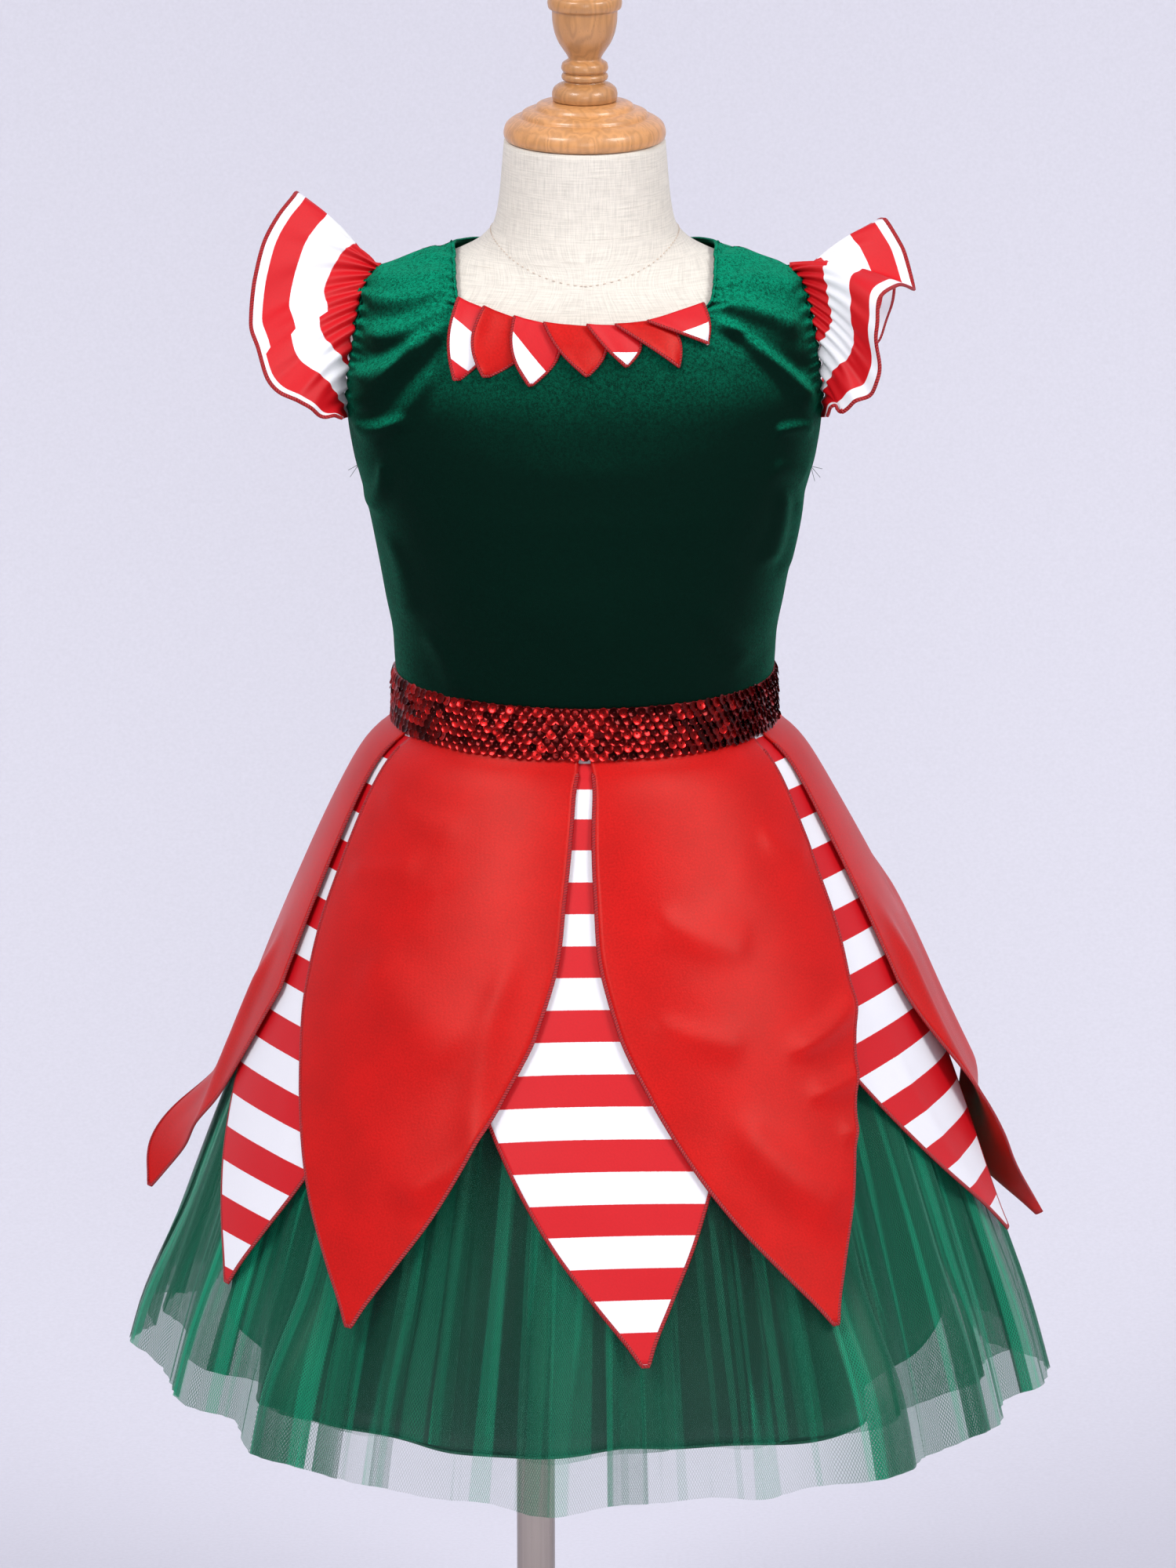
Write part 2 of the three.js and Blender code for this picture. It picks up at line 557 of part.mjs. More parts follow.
function outerNetOut(angle, z) {
  const out = fold(OUTER_FOLDS, "out", angle);
  const grown = out > 0 ? smooth(FLARE_Z - z, 0, 75) : smooth(SEAM_Z - z, 14, SEAM_Z - OUTER_HEM_Z) ** 0.8;
  return out * grown - (stripedInset(z) + layerGap(z));
}

function innerNetOut(angle, z) {
  const grown = smooth(SEAM_Z - z, 14, SEAM_Z - INNER_HEM_Z);
  const depth = INNER_FOLDS.depth * (0.5 - 0.5 * Math.cos(rad(INNER_FOLDS.count * angle))) * grown;
  return outerNetOut(angle, z) - NET - depth - lerp(LAYER_GAP, NET_CLEAR, hang(z));
}

function netSkirt(name, levels, out) {
  const angles = foldColumns(OUTER_FOLDS);
  const upward = levels.toReversed();
  const face = (i, j, side) => {
    const z = upward[j] + (j ? 0 : fold(OUTER_FOLDS, "rise", angles[i]));
    return onSkirt(angles[i], z, (1 - side) * NET - out(angles[i], z));
  };
  return greenNet(name, wall(face, angles.length, upward.length - 1, true));
}

function lining() {
  const columns = 48;
  const levels = [...SKIRT_LEVELS, LINING_HEM_Z].reverse();
  const mean = read(SKIRT, "z", "side", LINING_HEM_Z) - read(LINING, "z", "inset", LINING_HEM_Z);
  const face = (i, j, side) => {
    const angle = (360 * i) / columns;
    const z = levels[j];
    const grown = smooth(SEAM_Z - z, 30, SEAM_Z - LINING_HEM_Z) ** 1.3;
    const out = (fold(LINING_FOLDS, "radius", angle, (share) => smooth(share, 0, 1)) - mean) * grown;
    return onSkirt(angle, z, read(LINING, "z", "inset", z) - out - side * SATIN);
  };
  return greenSatin("skirt_lining", wall(face, columns, levels.length - 1, true));
}

function belt() {
  const columns = 48;
  const face = (i, j, out) => {
    const { z, side, front, back } = BELT[j];
    const [x, y] = oval(side + out * TRIM, front + out * TRIM, back + out * TRIM, (360 * i) / columns);
    return new THREE.Vector3(x, y, z);
  };
  return sequins("belt", wall(face, columns, 1, true));
}

// A point of the armhole, from its front end over the shoulder tip to its back end.
function armhole(share) {
  const rise = 1 - Math.abs(2 * share - 1);
  const z = lerp(FLUTTER_LOW_Z, SHOULDER_TIP_Z, Math.sin((rise * Math.PI) / 2));
  const angle = bodiceEdge(z);
  return onForm(share < 0.5 ? angle : 180 - angle, z, offForm(z) + VELVET + FLUTTER_ROOT);
}

function flutter(name, side, edge) {
  const [columns, rows] = [26, 4];
  const skin = (i, j) => {
    const share = side > 0 ? i / columns : 1 - i / columns;
    const root = armhole(share);
    const rim = new THREE.Vector3(...["out", "y", "z"].map((column) => read(edge, "share", column, share)));
    const down = 1 - j / rows;
    const point = root.lerp(rim, down);
    point.z += FLUTTER_BULGE * Math.sin(Math.PI * down) * Math.sin(Math.PI * share);
    point.x *= side;
    return point;
  };
  return stripedSatin(name, wall(thick(skin, columns, rows, SATIN), columns, rows));
}

function neckLeaf(row) {
  const [columns, rows] = [3, 5];
  const edge = (from, bow, t) => [
    lerp(from[0], row.point[0], t) + bow * Math.sin(Math.PI * t),
    lerp(from[1], row.point[1], t),
  ];
  const face = (i, j, out) => {
    const t = LEAF_TIP_SHARE * (1 - j / rows);
    const across = i / columns;
    const [left, right] = [edge(row.left, -row.bowLeft, t), edge(row.right, row.bowRight, t)];
    const [x, z] = [lerp(left[0], right[0], across), lerp(left[1], right[1], across)];
    const above = offForm(z) + VELVET + LEAF_GAP + LEAF_RISE * (1 - across);
    return onForm(angleOut(x, z), z, above + out * LEAF_CLOTH);
  };
  return (row.leaf % 2 ? stripedSatin : redSatin)(`neck_leaf_${row.leaf}`, wall(face, columns, rows));
}

const dress = new THREE.Group();
dress.add(
  ...dressForm(),
  bodice("bodice_front", false, 20),
  bodice("bodice_back", true, 16),
  flutter("sleeve_left", -1, LEFT_FLUTTER),
  flutter("sleeve_right", 1, RIGHT_FLUTTER),
  ...NECK_LEAVES.map(neckLeaf),
  belt(),
  ...PETALS.map(petal),
  netSkirt("tulle_outer", [...SKIRT_LEVELS, 360, OUTER_HEM_Z], outerNetOut),
  netSkirt("tulle_inner", [...SKIRT_LEVELS, INNER_HEM_Z], innerNetOut),
  lining(),
);
export default dress;
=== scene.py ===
"""A child's elf costume dress on a linen dress form: velvet bodice, striped flutter sleeves, a row of
neck leaves, sequin belt, satin and striped petals, two tulle skirts and a lining. Sizes in the tables
are millimetres; left and right are the viewer's, facing the front, which looks along -Y."""

import bmesh
import bpy
import numpy as np
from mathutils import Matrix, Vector


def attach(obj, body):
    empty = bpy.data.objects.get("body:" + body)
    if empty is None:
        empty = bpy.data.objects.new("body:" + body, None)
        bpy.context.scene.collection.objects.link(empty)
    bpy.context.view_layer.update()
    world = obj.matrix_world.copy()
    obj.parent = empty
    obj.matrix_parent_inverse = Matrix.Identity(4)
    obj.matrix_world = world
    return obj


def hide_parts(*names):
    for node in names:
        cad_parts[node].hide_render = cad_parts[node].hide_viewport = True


bl_info = {
    "name": "Elf costume dress",
    "version": (1, 0, 0),
    "blender": (4, 5, 0),
    "location": "3D View > Sidebar > Elf dress",
    "description": "Dresses the packed elf costume with cloth, sequins, thread, wood and steel",
    "category": "Object",
}

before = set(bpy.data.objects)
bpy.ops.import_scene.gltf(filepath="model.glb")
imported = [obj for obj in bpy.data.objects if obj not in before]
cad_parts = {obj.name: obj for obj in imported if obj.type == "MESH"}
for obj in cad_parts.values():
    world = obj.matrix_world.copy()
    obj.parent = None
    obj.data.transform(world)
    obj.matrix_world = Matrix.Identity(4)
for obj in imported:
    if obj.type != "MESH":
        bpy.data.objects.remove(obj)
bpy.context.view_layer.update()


# Sizes


def table(columns, *rows):
    """A table with named columns, the first being what it is read by."""
    return dict(zip(columns.split(), np.array(rows, float).T))


def read(sizes, column, at):
    """A column of a table at any value of its first column, on a monotone cubic through its rows."""
    key = next(iter(sizes.values()))
    value = sizes[column]
    at = np.clip(at, key[0], key[-1])
    step = np.diff(key)
    slope = np.diff(value) / step
    product = slope[:-1] * slope[1:]
    total = slope[:-1] + slope[1:]
    inner = np.where(product > 0, 2 * product / np.where(total == 0, 1, total), 0)
    tangent = np.concatenate((slope[:1], inner, slope[-1:]))
    i = np.clip(np.searchsorted(key, at, side="right") - 1, 0, len(step) - 1)
    t = (at - key[i]) / step[i]
    ends = (2 * t - 3) * t * t
    steered = t * (1 - t) * (tangent[i] * (1 - t) - tangent[i + 1] * t) * step[i]
    return value[i] * (1 + ends) - value[i + 1] * ends + steered


# Heights above the floor.
OUTER_HEM_Z = 318
LINING_HEM_Z = 337
INNER_HEM_Z = 343
FLARE_Z = 422  # below this the outer net's ridges stand out
FORM_BOTTOM_Z = 520
PETAL_TOP_Z = 686.5  # where the skirt's layers and petals begin
SEAM_Z = 687  # the waist seam
BODICE_LOW_Z = 687.4
ARMPIT_Z = 812
SHOULDER_TIP_Z = 918
NECK_POINT_Z = 932  # where the shoulder seam meets the neckline
NECK_TOP_Z = 990

# Cloth: its thicknesses, and the gaps between its layers.
VELVET = 1.4
SATIN = 1.25
LEAF_SATIN = 1.0
RIBBON = 1.0
NET = 1.1
ON_FORM = 1.8  # from the form to the velvet's inner face
SHOULDER_EASE = 0.8  # and this much more over the shoulders
LAYER_GAP = 0.65  # between the layers of the skirt at the waist
LOOSE_GAP = 2.2  # between the same layers where they hang free
NET_CLEAR = 3.2  # between the two nets where they hang free
SKIRT_LEAN = 4  # the hanging skirt's shift to the right

# How much deeper the finished creases and folds are than the heights in their tables.
FRONT_CREASE_DEPTH = 2.6
BACK_CREASE_DEPTH = 1.7
PETAL_FOLD_DEPTH = 1.7
STRIPED_FOLD_SHARE = 0.5  # the striped petals' folds, as a share of the red ones'

# Stripes: how far down its cut a petal's stripes are moved, and the stripes of a sleeve.
PETAL_STRIPE_SHIFT = 6.3
SLEEVE_STRIPE_SHIFT = 10.3
SLEEVE_STRIPE_STEP = 3.4  # the stripes' step at the left sleeve's seam
WIDE_STRIPES_FROM = 34  # further in than this a sleeve's stripes are wider

POLE_X = -27  # the pole stands off the form's middle

# The form: half its width, its depths before and behind the widest line, and how square the section is.
FORM = table(
    "z side front back square",
    (520, 108, 86, 86, 2.2),
    (560, 111, 88, 89, 2.2),
    (600, 108, 87, 86, 2.2),
    (640, 99, 83.5, 77, 2.1),
    (667, 92, 79, 68, 2),
    (687, 90.6, 78, 65.5, 2),
    (697, 93.2, 80.2, 68.2, 2),
    (707, 97.5, 84, 72.5, 2.05),
    (727, 98.8, 88, 76.5, 2.1),
    (748, 102.6, 91, 81, 2.15),
    (770, 106.4, 93, 85, 2.2),
    (804, 113, 93, 89, 2.35),
    (815, 116, 92, 90, 2.4),
    (830, 119.7, 90.5, 90, 2.45),
    (845, 122.5, 88, 89.5, 2.5),
    (862, 124.3, 84.5, 87.5, 2.5),
    (885, 123, 77.5, 82, 2.35),
    (903, 117.5, 70, 73, 2.1),
    (914, 110.5, 64, 65, 1.85),
    (920, 102, 60.5, 60, 1.65),
    (926, 85, 56.5, 55, 1.55),
    (931, 69.5, 53, 50, 1.6),
    (938, 55, 49.5, 46.5, 1.85),
    (947, 47.6, 46, 43.5, 2),
    (960, 45, 43.5, 42, 2),
    (972, 43.8, 42.5, 41.5, 2),
    (990, 42.3, 41.5, 41, 2),
)
# The skirt's outer face, over the red petals: half its width, and its depths as shares of that.
SKIRT = table(
    "z side front back",
    (300, 260.5, 0.93, 0.92),
    (318, 256, 0.93, 0.92),
    (373, 240.5, 0.93, 0.92),
    (418, 225, 0.93, 0.92),
    (463, 208.5, 0.93, 0.92),
    (508, 191, 0.92, 0.9),
    (552, 174, 0.91, 0.88),
    (596, 154, 0.9, 0.86),
    (640, 132, 0.88, 0.82),
    (657, 122.5, 0.875, 0.8),
    (664, 117.7, 0.873, 0.785),
    (671, 111, 0.872, 0.77),
    (677, 103, 0.873, 0.757),
    (680, 100.3, 0.874, 0.75),
    (687, 100.2, 0.874, 0.75),
)
# The belt's inner face, at its lower and upper edge.
BELT = table("z side front back", (678.3, 102.5, 89.9, 77.6), (706, 101.7, 88.7, 77))
# The armhole's edge in front, as an angle round the form from the middle of the front.
ARMHOLE = table(
    "z angle",
    (812, 90),
    (820, 85),
    (834, 80.5),
    (852, 77.5),
    (872, 75),
    (890, 74.5),
    (906, 79),
    (918, 90),
)
# Half the neckline, from the middle out: half its width, and its height in front and behind.
NECKLINE = table(
    "share out front back",
    (0, 0, 903.5, 921),
    (0.25, 25, 904, 922),
    (0.5, 50, 906.8, 926),
    (0.65, 62, 910, 928.5),
    (0.75, 66, 914.5, 929.5),
    (0.88, 67.5, 923, 931),
    (1, 68, 932, 932),
)
# A petal's half width down its length.
PETAL = table(
    "share half",
    (0, 50),
    (0.12, 62),
    (0.25, 70),
    (0.37, 75),
    (0.47, 73),
    (0.58, 64),
    (0.7, 51),
    (0.8, 37),
    (0.9, 19),
    (0.97, 6),
    (1, 1.5),
)
# The lining hangs closer in: how far inside the skirt's outer face, and its ridges and hollows round
# the hem.
LINING = table(
    "z inset",
    (337, 67),
    (402, 55),
    (500, 43),
    (600, 26),
    (650, 15),
    (669, 11),
    (677.8, 8.6),
    (687, 8.6),
)
LINING_FOLDS = table(
    "angle radius",
    (-56, 210),
    (-30, 188),
    (-16, 198),
    (8, 157),
    (38, 206),
    (68, 147),
    (118, 206),
    (147, 160),
    (184, 204),
    (217, 158),
    (252, 206),
    (277, 170),
    (304, 210),
)
# The free edge of each flutter sleeve, from its front end over the shoulder to its back end.
LEFT_FLUTTER = table(
    "share out y z",
    (0, 126.5, -50, 852),
    (0.07, 137, -55, 855.5),
    (0.13, 145, -57, 861),
    (0.19, 153, -57, 865),
    (0.26, 165, -51, 874),
    (0.32, 170, -42, 888),
    (0.38, 174, -33, 900),
    (0.43, 173, -22, 917),
    (0.48, 168, -14, 937),
    (0.53, 160, -4, 951),
    (0.57, 152.5, 6, 959),
    (0.64, 152, 26, 951),
    (0.72, 160, 44, 928),
    (0.8, 160, 57, 902),
    (0.88, 152, 60, 879),
    (0.95, 139, 57, 862),
    (1, 126.5, 50, 852),
)
RIGHT_FLUTTER = table(
    "share out y z",
    (0, 127, -48, 853),
    (0.05, 131, -53, 860),
    (0.1, 134, -55, 857),
    (0.17, 141, -58, 863),
    (0.24, 149, -60, 869),
    (0.3, 154, -60, 880),
    (0.37, 151, -59, 901),
    (0.43, 153, -51, 914),
    (0.49, 163, -36, 921),
    (0.545, 172, -16, 914),
    (0.59, 167, -2, 931),
    (0.64, 157, 8, 947),
    (0.7, 155, 23, 940),
    (0.77, 164, 34, 916),
    (0.83, 163, 43, 893),
    (0.89, 158, 49, 874),
    (0.95, 143, 50, 861),
    (1, 127, 46, 850),
)

# Each petal: the angle of its middle at the waist and at the point, how far it bows round between
# them, half the angle it has to itself, its point's height, its width as a share of the table's, and
# how far its point turns out and its edges lift.
PETALS = {
    "red_front_left": dict(
        waist=-32.9, point=-33.2, bow=-2, room=31.3, tip=398, wide=1.01, flip=1, lift=0,
    ),
    "red_front_right": dict(waist=32, point=33.2, bow=-4, room=31.3, tip=399, wide=0.94, flip=1, lift=0),
    "red_side_left": dict(waist=-92.3, point=-93, bow=0, room=22.8, tip=407, wide=0.96, flip=15, lift=0),
    "red_side_right": dict(waist=92.3, point=91, bow=0, room=24.1, tip=393, wide=0.96, flip=6, lift=3),
    "red_back_left": dict(waist=-150.7, point=-150, bow=0, room=29, tip=400, wide=0.95, flip=3, lift=1),
    "red_back_right": dict(waist=150.7, point=152, bow=0, room=29, tip=400, wide=0.95, flip=3, lift=1),
    "striped_front": dict(waist=0, point=6.8, bow=0, room=29.6, tip=389, wide=1, flip=0, lift=0),
    "striped_left": dict(waist=-60, point=-58.2, bow=-2, room=29.6, tip=399, wide=1.1, flip=0, lift=0),
    "striped_right": dict(waist=60, point=79, bow=0, room=29.6, tip=404, wide=0.98, flip=2, lift=0),
    "striped_back_left": dict(waist=-120, point=-120, bow=0, room=29.6, tip=398, wide=1, flip=0, lift=0),
    "striped_back_right": dict(waist=120, point=123, bow=0, room=29.6, tip=398, wide=1, flip=0, lift=0),
    "striped_back": dict(waist=180, point=178, bow=0, room=29.6, tip=396, wide=0.98, flip=0, lift=0),
}

# Each neck leaf in the front view: its ends on the neckline, its point, how far its edges bow out,
# and for a striped one a point on a stripe's edge and the way that the stripes step.
NECK_LEAVES = {
    "1": dict(left=(-63, 913), right=(-46, 909.5), point=(-65.5, 877), bow=(4, 7),
              stripe=(-66, 908.6, 0.58, 0.815)),
    "2": dict(left=(-50, 910.5), right=(-31, 906.5), point=(-51, 879.5), bow=(6, 11), stripe=None),
    "3": dict(left=(-35, 907.5), right=(-14, 904.8), point=(-28, 876), bow=(5, 7),
              stripe=(-35.5, 903, 0.76, 0.65)),
    "4": dict(left=(-20.5, 905.5), right=(8, 904.4), point=(1, 881), bow=(3, 6), stripe=None),
    "5": dict(left=(1, 905), right=(24, 904.6), point=(21, 885.5), bow=(1, 6),
              stripe=(20, 894.8, 0.05, 1)),
    "6": dict(left=(15, 904.8), right=(43, 907), point=(48, 884.5), bow=(-1, 3), stripe=None),
    "7": dict(left=(31, 905.6), right=(60, 912.5), point=(62.5, 894), bow=(-1, 2),
              stripe=(44.5, 902.6, -0.23, 0.97)),
}

# Creases of the bodice front in the front view: start, end, half width, height at the middle.
BODICE_CREASES = [
    (-70, 911, -113, 891, 5.2, 1.5),
    (-71, 904, -121, 869, 6.5, 1.9),
    (-84, 896, -122, 857, 5, 1.3),
    (-92, 856, -121, 846, 5, 0.9),
    (-74, 930, -108, 927, 4.5, 0.8),
    (-73, 923, -114, 917, 4.2, 0.9),
    (-72, 918, -117, 908, 4.4, 1.1),
    (-78, 882, -116, 838, 6, 0.6),
    (-104, 832, -113, 800, 5, 0.9),
    (69, 911, 111, 895, 4.8, 1.5),
    (70, 904, 119, 858, 4.4, 1.8),
    (72, 919, 113, 912, 4.2, 1.0),
    (72, 926, 106, 924, 4.5, 0.8),
    (76, 898, 118, 872, 5.5, -0.8),
    (99, 849, 119, 846, 4.5, 0.8),
    (96, 830, 117, 822, 8, 0.8),
    (104, 815, 96, 776, 6, 0.9),
    (112, 808, 104, 764, 4.5, 0.7),
    (-103, 790, -92, 745, 7, 0.6),
    (-30, 760, 20, 742, 22, 0.5),
    (60, 760, 84, 720, 9, 0.5),
    (-82, 740, -66, 708, 8, 0.5),
]
BACK_CREASES = [
    (-60, 925, -108, 893, 6, 1.2),
    (-58, 915, -116, 862, 7, 1.4),
    (62, 926, 110, 897, 5.5, 1.2),
    (55, 912, 117, 868, 7.5, 1.3),
    (-30, 700, -86, 742, 8, 0.9),
    (24, 698, 88, 748, 9, 1.0),
    (-10, 716, 46, 728, 8, 0.7),
    (-88, 806, -116, 838, 7, 1.0),
    (92, 802, 117, 832, 6.5, 1.1),
    (-4, 760, -52, 778, 12, 0.6),
]

# Soft folds of the petals in their own cut: start and end as (across, down from the waist), half
# width, height.
PETAL_FOLDS = {
    "red_front_left": [
        (-50, 40, 10, 58, 9, 0.7),
        (-58, 84, -12, 78, 7, 0.8),
        (20, 250, 62, 205, 14, 1.6),
        (-30, 130, 40, 170, 24, 1.2),
        (52, 118, 62, 230, 10, 1.0),
    ],
    "red_front_right": [
        (20, 176, 72, 150, 8, 1.7),
        (26, 200, 76, 184, 7, 1.4),
        (40, 222, 74, 214, 8, 1.2),
        (-40, 96, 8, 118, 12, 1.1),
        (-52, 150, -6, 168, 9, 1.0),
        (-20, 210, 30, 262, 18, 1.5),
        (30, 60, 60, 74, 9, 0.7),
    ],
    "red_side_left": [(-40, 120, -20, 290, 16, 2.0), (34, 150, 40, 300, 12, 2.4)],
    "red_side_right": [(-46, 130, -36, 290, 13, 2.6), (30, 110, 22, 270, 16, 1.8)],
    "red_back_left": [
        (-44, 90, 16, 130, 11, 1.3),
        (10, 190, 56, 160, 10, 1.5),
        (-30, 230, 8, 282, 14, 1.2),
    ],
    "red_back_right": [
        (40, 100, -20, 126, 10, 1.3),
        (-8, 180, -58, 196, 11, 1.4),
        (24, 216, 4, 280, 13, 1.4),
    ],
    "striped_front": [(-30, 200, 20, 290, 20, 0.8), (30, 180, 44, 240, 9, 0.6)],
    "striped_left": [(10, 180, 34, 260, 12, 0.7)],
    "striped_right": [(-20, 190, -6, 300, 10, 1.0)],
    "striped_back_left": [(-16, 170, 12, 270, 14, 0.8)],
    "striped_back_right": [(18, 180, -8, 280, 13, 0.8)],
    "striped_back": [(-22, 190, 14, 262, 15, 0.8)],
}

# The side petals' lower ends twist about their front edges: degrees, and the share of the length
# where the twist starts. One of them swings out to the side as well.
PETAL_TWISTS = {"red_side_left": (48, 0.78), "red_side_right": (52, 0.7)}
PETAL_SWINGS = {"red_side_right": 5.5}

# The outer net: the angle round from the middle of the front, how far it stands out at the hem, and
# how much shorter it is there.
NET_FOLDS = table(
    "angle out rise",
    (-180, 6, 0),
    (-168, -8, 2),
    (-155, 8, 0),
    (-142, -9, 1),
    (-128, 10, 0),
    (-117, -7, 3),
    (-105, 7, 7),
    (-95, -5, 11),
    (-84, 8, 13),
    (-73, -6, 14),
    (-62, 4, 13),
    (-53, -6, 11),
    (-42, 15, 6),
    (-33, -4, 3),
    (-25, 6, 0),
    (-15, -8, -1),
    (-4, 8, -2),
    (7, -5, 0),
    (15, 6, 2),
    (25, -8, 0),
    (38, 19, 0),
    (48, -9, 2),
    (58, 5, 3),
    (66, -7, 4),
    (74, 3, 4),
    (84, 1, 3),
    (98, -30, 2),
    (110, -26, 0),
    (123, 7, 0),
    (131, -9, 1),
    (143, 9, 0),
    (155, -8, 2),
    (166, 7, 0),
    (173, -6, 0),
    (180, 6, 0),
)
# Knife pleats: the angle of the fold's edge, and how far back it is laid, which is less than nothing
# for a pleat laid the other way.
OUTER_PLEATS = [(-150, 3), (-112, -3), (-86, 3.5), (-66, -3), (-43.5, -6.5), (-33, 3.2), (-27.5, -2.6),
                (-9, -4), (6.8, 5), (40.5, 6), (57, 3.2), (70, -3), (84, 2.6), (110, 3), (148, -3.4)]
INNER_PLEATS = [(-160, -3), (-121, 3), (-76, -3.4), (-57, 3), (-38, 4.2), (-19, 2.5), (9.9, 3.4),
                (28, -2.6), (43.5, 3.2), (64, 3.4), (78, -3), (98, 3), (130, -3), (164, 3)]

# The turned pieces: radius and height in order along their outlines, from the bottom up.
CAP = table(
    "length r z",
    (0, 39.5, 990.3), (1, 41.8, 991.6), (2, 42.5, 994.5), (3, 41.6, 998.3), (4, 38, 1001.6),
    (5, 35, 1002.9), (6, 33.6, 1003.2), (7, 33.2, 1004.2), (8, 32.6, 1005.2), (9, 28.6, 1006.9),
    (10, 26.4, 1007.4), (11, 25.9, 1008), (12, 25.2, 1009.2), (13, 23.6, 1010.1), (14, 17.5, 1011.2),
)
FINIAL = table(
    "length r z",
    (0, 16.6, 1011.5), (1, 17.2, 1014.6), (2, 16.6, 1017.3), (3, 14.4, 1019.6), (4, 10.6, 1021.3),
    (5, 10.4, 1021.9), (6, 11.9, 1022.8), (7, 12.2, 1024.2), (8, 11.6, 1025.6), (9, 10.6, 1026.1),
    (10, 11.6, 1026.9), (11, 12.3, 1028.6), (12, 11.8, 1031), (13, 9.6, 1032.6), (14, 8.6, 1033.6),
    (15, 9.4, 1035.4), (16, 11.4, 1038.4), (17, 14, 1042.6), (18, 16, 1048), (19, 17, 1054),
    (20, 17.2, 1058.6), (21, 17.5, 1059.2), (22, 19, 1060.3), (23, 19.5, 1063), (24, 19, 1065.7),
    (25, 17.3, 1067), (26, 17, 1068.6), (27, 15.8, 1073), (28, 12.6, 1077.6), (29, 8, 1080.4),
)
POLE = table("length r z", (0, 10.3, 45.3), (1, 10.5, 45.6), (2, 10.5, 519.4), (3, 10.3, 519.7))
BASE = table(
    "length r z",
    (0, 139, 0), (1, 140, 1), (2, 140, 4.2), (3, 138.6, 5.6), (4, 134, 8.4), (5, 131, 9),
    (6, 30, 10.6), (7, 17, 11.4), (8, 15.2, 13), (9, 15, 16), (10, 15, 43.8), (11, 14.4, 45),
)


# Surfaces


def smooth(value, low, high):
    """Runs softly from 0 at low to 1 at high."""
    t = np.clip((value - low) / (high - low), 0, 1)
    return t * t * (3 - 2 * t)


def lerp(a, b, t):
    return a + (b - a) * t


def normalised(vectors):
    return vectors / np.maximum(np.linalg.norm(vectors, axis=-1, keepdims=True), 1e-9)


def oval(side, front, back, angle, square=2.0):
    """Points of an oval at an angle from the middle of the front, with squared corners if asked."""
    s, c = np.sin(np.radians(angle)), np.cos(np.radians(angle))
    power = 2 / square
    x = side * np.sign(s) * np.abs(s) ** power
    y = -np.where(c > 0, front, back) * np.sign(c) * np.abs(c) ** power
    return x, y


def moved(place, angle, z, offset, low, high):
    """Points of a surface moved out along its own normals."""
    along = place(angle + 1, z) - place(angle - 1, z)
    up = place(angle, np.minimum(z + 1, high)) - place(angle, np.maximum(z - 1, low))
    return place(angle, z) + normalised(np.cross(along, up)) * np.asarray(offset)[..., None]


def form_face(angle, z):
    """Points of the form at an angle from the middle of the front and a height."""
    x, y = oval(*(read(FORM, column, z) for column in ("side", "front", "back")), angle,
                read(FORM, "square", z))
    return np.stack((x, y, z + 0 * x), -1)


def on_form(angle, z, offset=0.0):
    """Points off the form's surface by an offset."""
    return moved(form_face, angle, z, offset + 0 * z, FORM_BOTTOM_Z, NECK_TOP_Z)


def angle_out(out, z):
    """The angle at which the form's front has this half width at this height."""
    share = np.minimum(np.abs(out) / read(FORM, "side", z), 1)
    return np.where(out < 0, -1, 1) * np.degrees(np.arcsin(share ** (read(FORM, "square", z) / 2)))


def off_form(z):
    """How far the velvet's inner face stands off the form."""
    return ON_FORM + SHOULDER_EASE * smooth(z, 885, 912)


def skirt_face(angle, z):
    """Points of the skirt's outer face, over the red petals."""
    side = read(SKIRT, "side", z)
    x, y = oval(side, side * read(SKIRT, "front", z), side * read(SKIRT, "back", z), angle)
    return np.stack((x + SKIRT_LEAN * smooth(SEAM_Z - z, 20, 150), y, z + 0 * x), -1)


def on_skirt(angle, z, inset):
    """Points inside the skirt's outer face by an inset."""
    return moved(skirt_face, angle, z, -inset, SKIRT["z"][0], SEAM_Z)


def hang(z):
    """0 at the waist seam, 1 where the cloth hangs free."""
    return smooth(SEAM_Z - z, 8, 60)


def layer_gap(z):
    """The gap between two layers of the skirt."""
    return lerp(LAYER_GAP, LOOSE_GAP, hang(z))


def striped_inset(z):
    """From the skirt's outer face in to the striped petals' inner face."""
    return 2 * SATIN + layer_gap(z)


def crease(x, y, folds):
    """The height of soft creases, each fading out along its length and to its sides."""
    height = np.zeros_like(x, dtype=float)
    for x0, y0, x1, y1, wide, rise in folds:
        dx, dy = x1 - x0, y1 - y0
        length = np.hypot(dx, dy)
        t = ((x - x0) * dx + (y - y0) * dy) / length**2
        bend = 0.06 * length * np.sin(np.pi * np.clip(t, 0, 1))
        across = ((x - x0) * dy - (y - y0) * dx) / length + bend
        spread = wide * (0.6 + 0.4 * np.clip(t, 0, 1))
        fade = np.exp(-((np.maximum(np.abs(t - 0.5) - 0.34, 0) / 0.15) ** 2))
        height += rise * fade * np.exp(-((across / spread) ** 2))
    return height


def waves(*parts):
    """An uneven wave from a few sines, each given as the value it follows and its height."""
    return sum(height * np.sin(value) for value, height in parts)


# Meshes and pieces


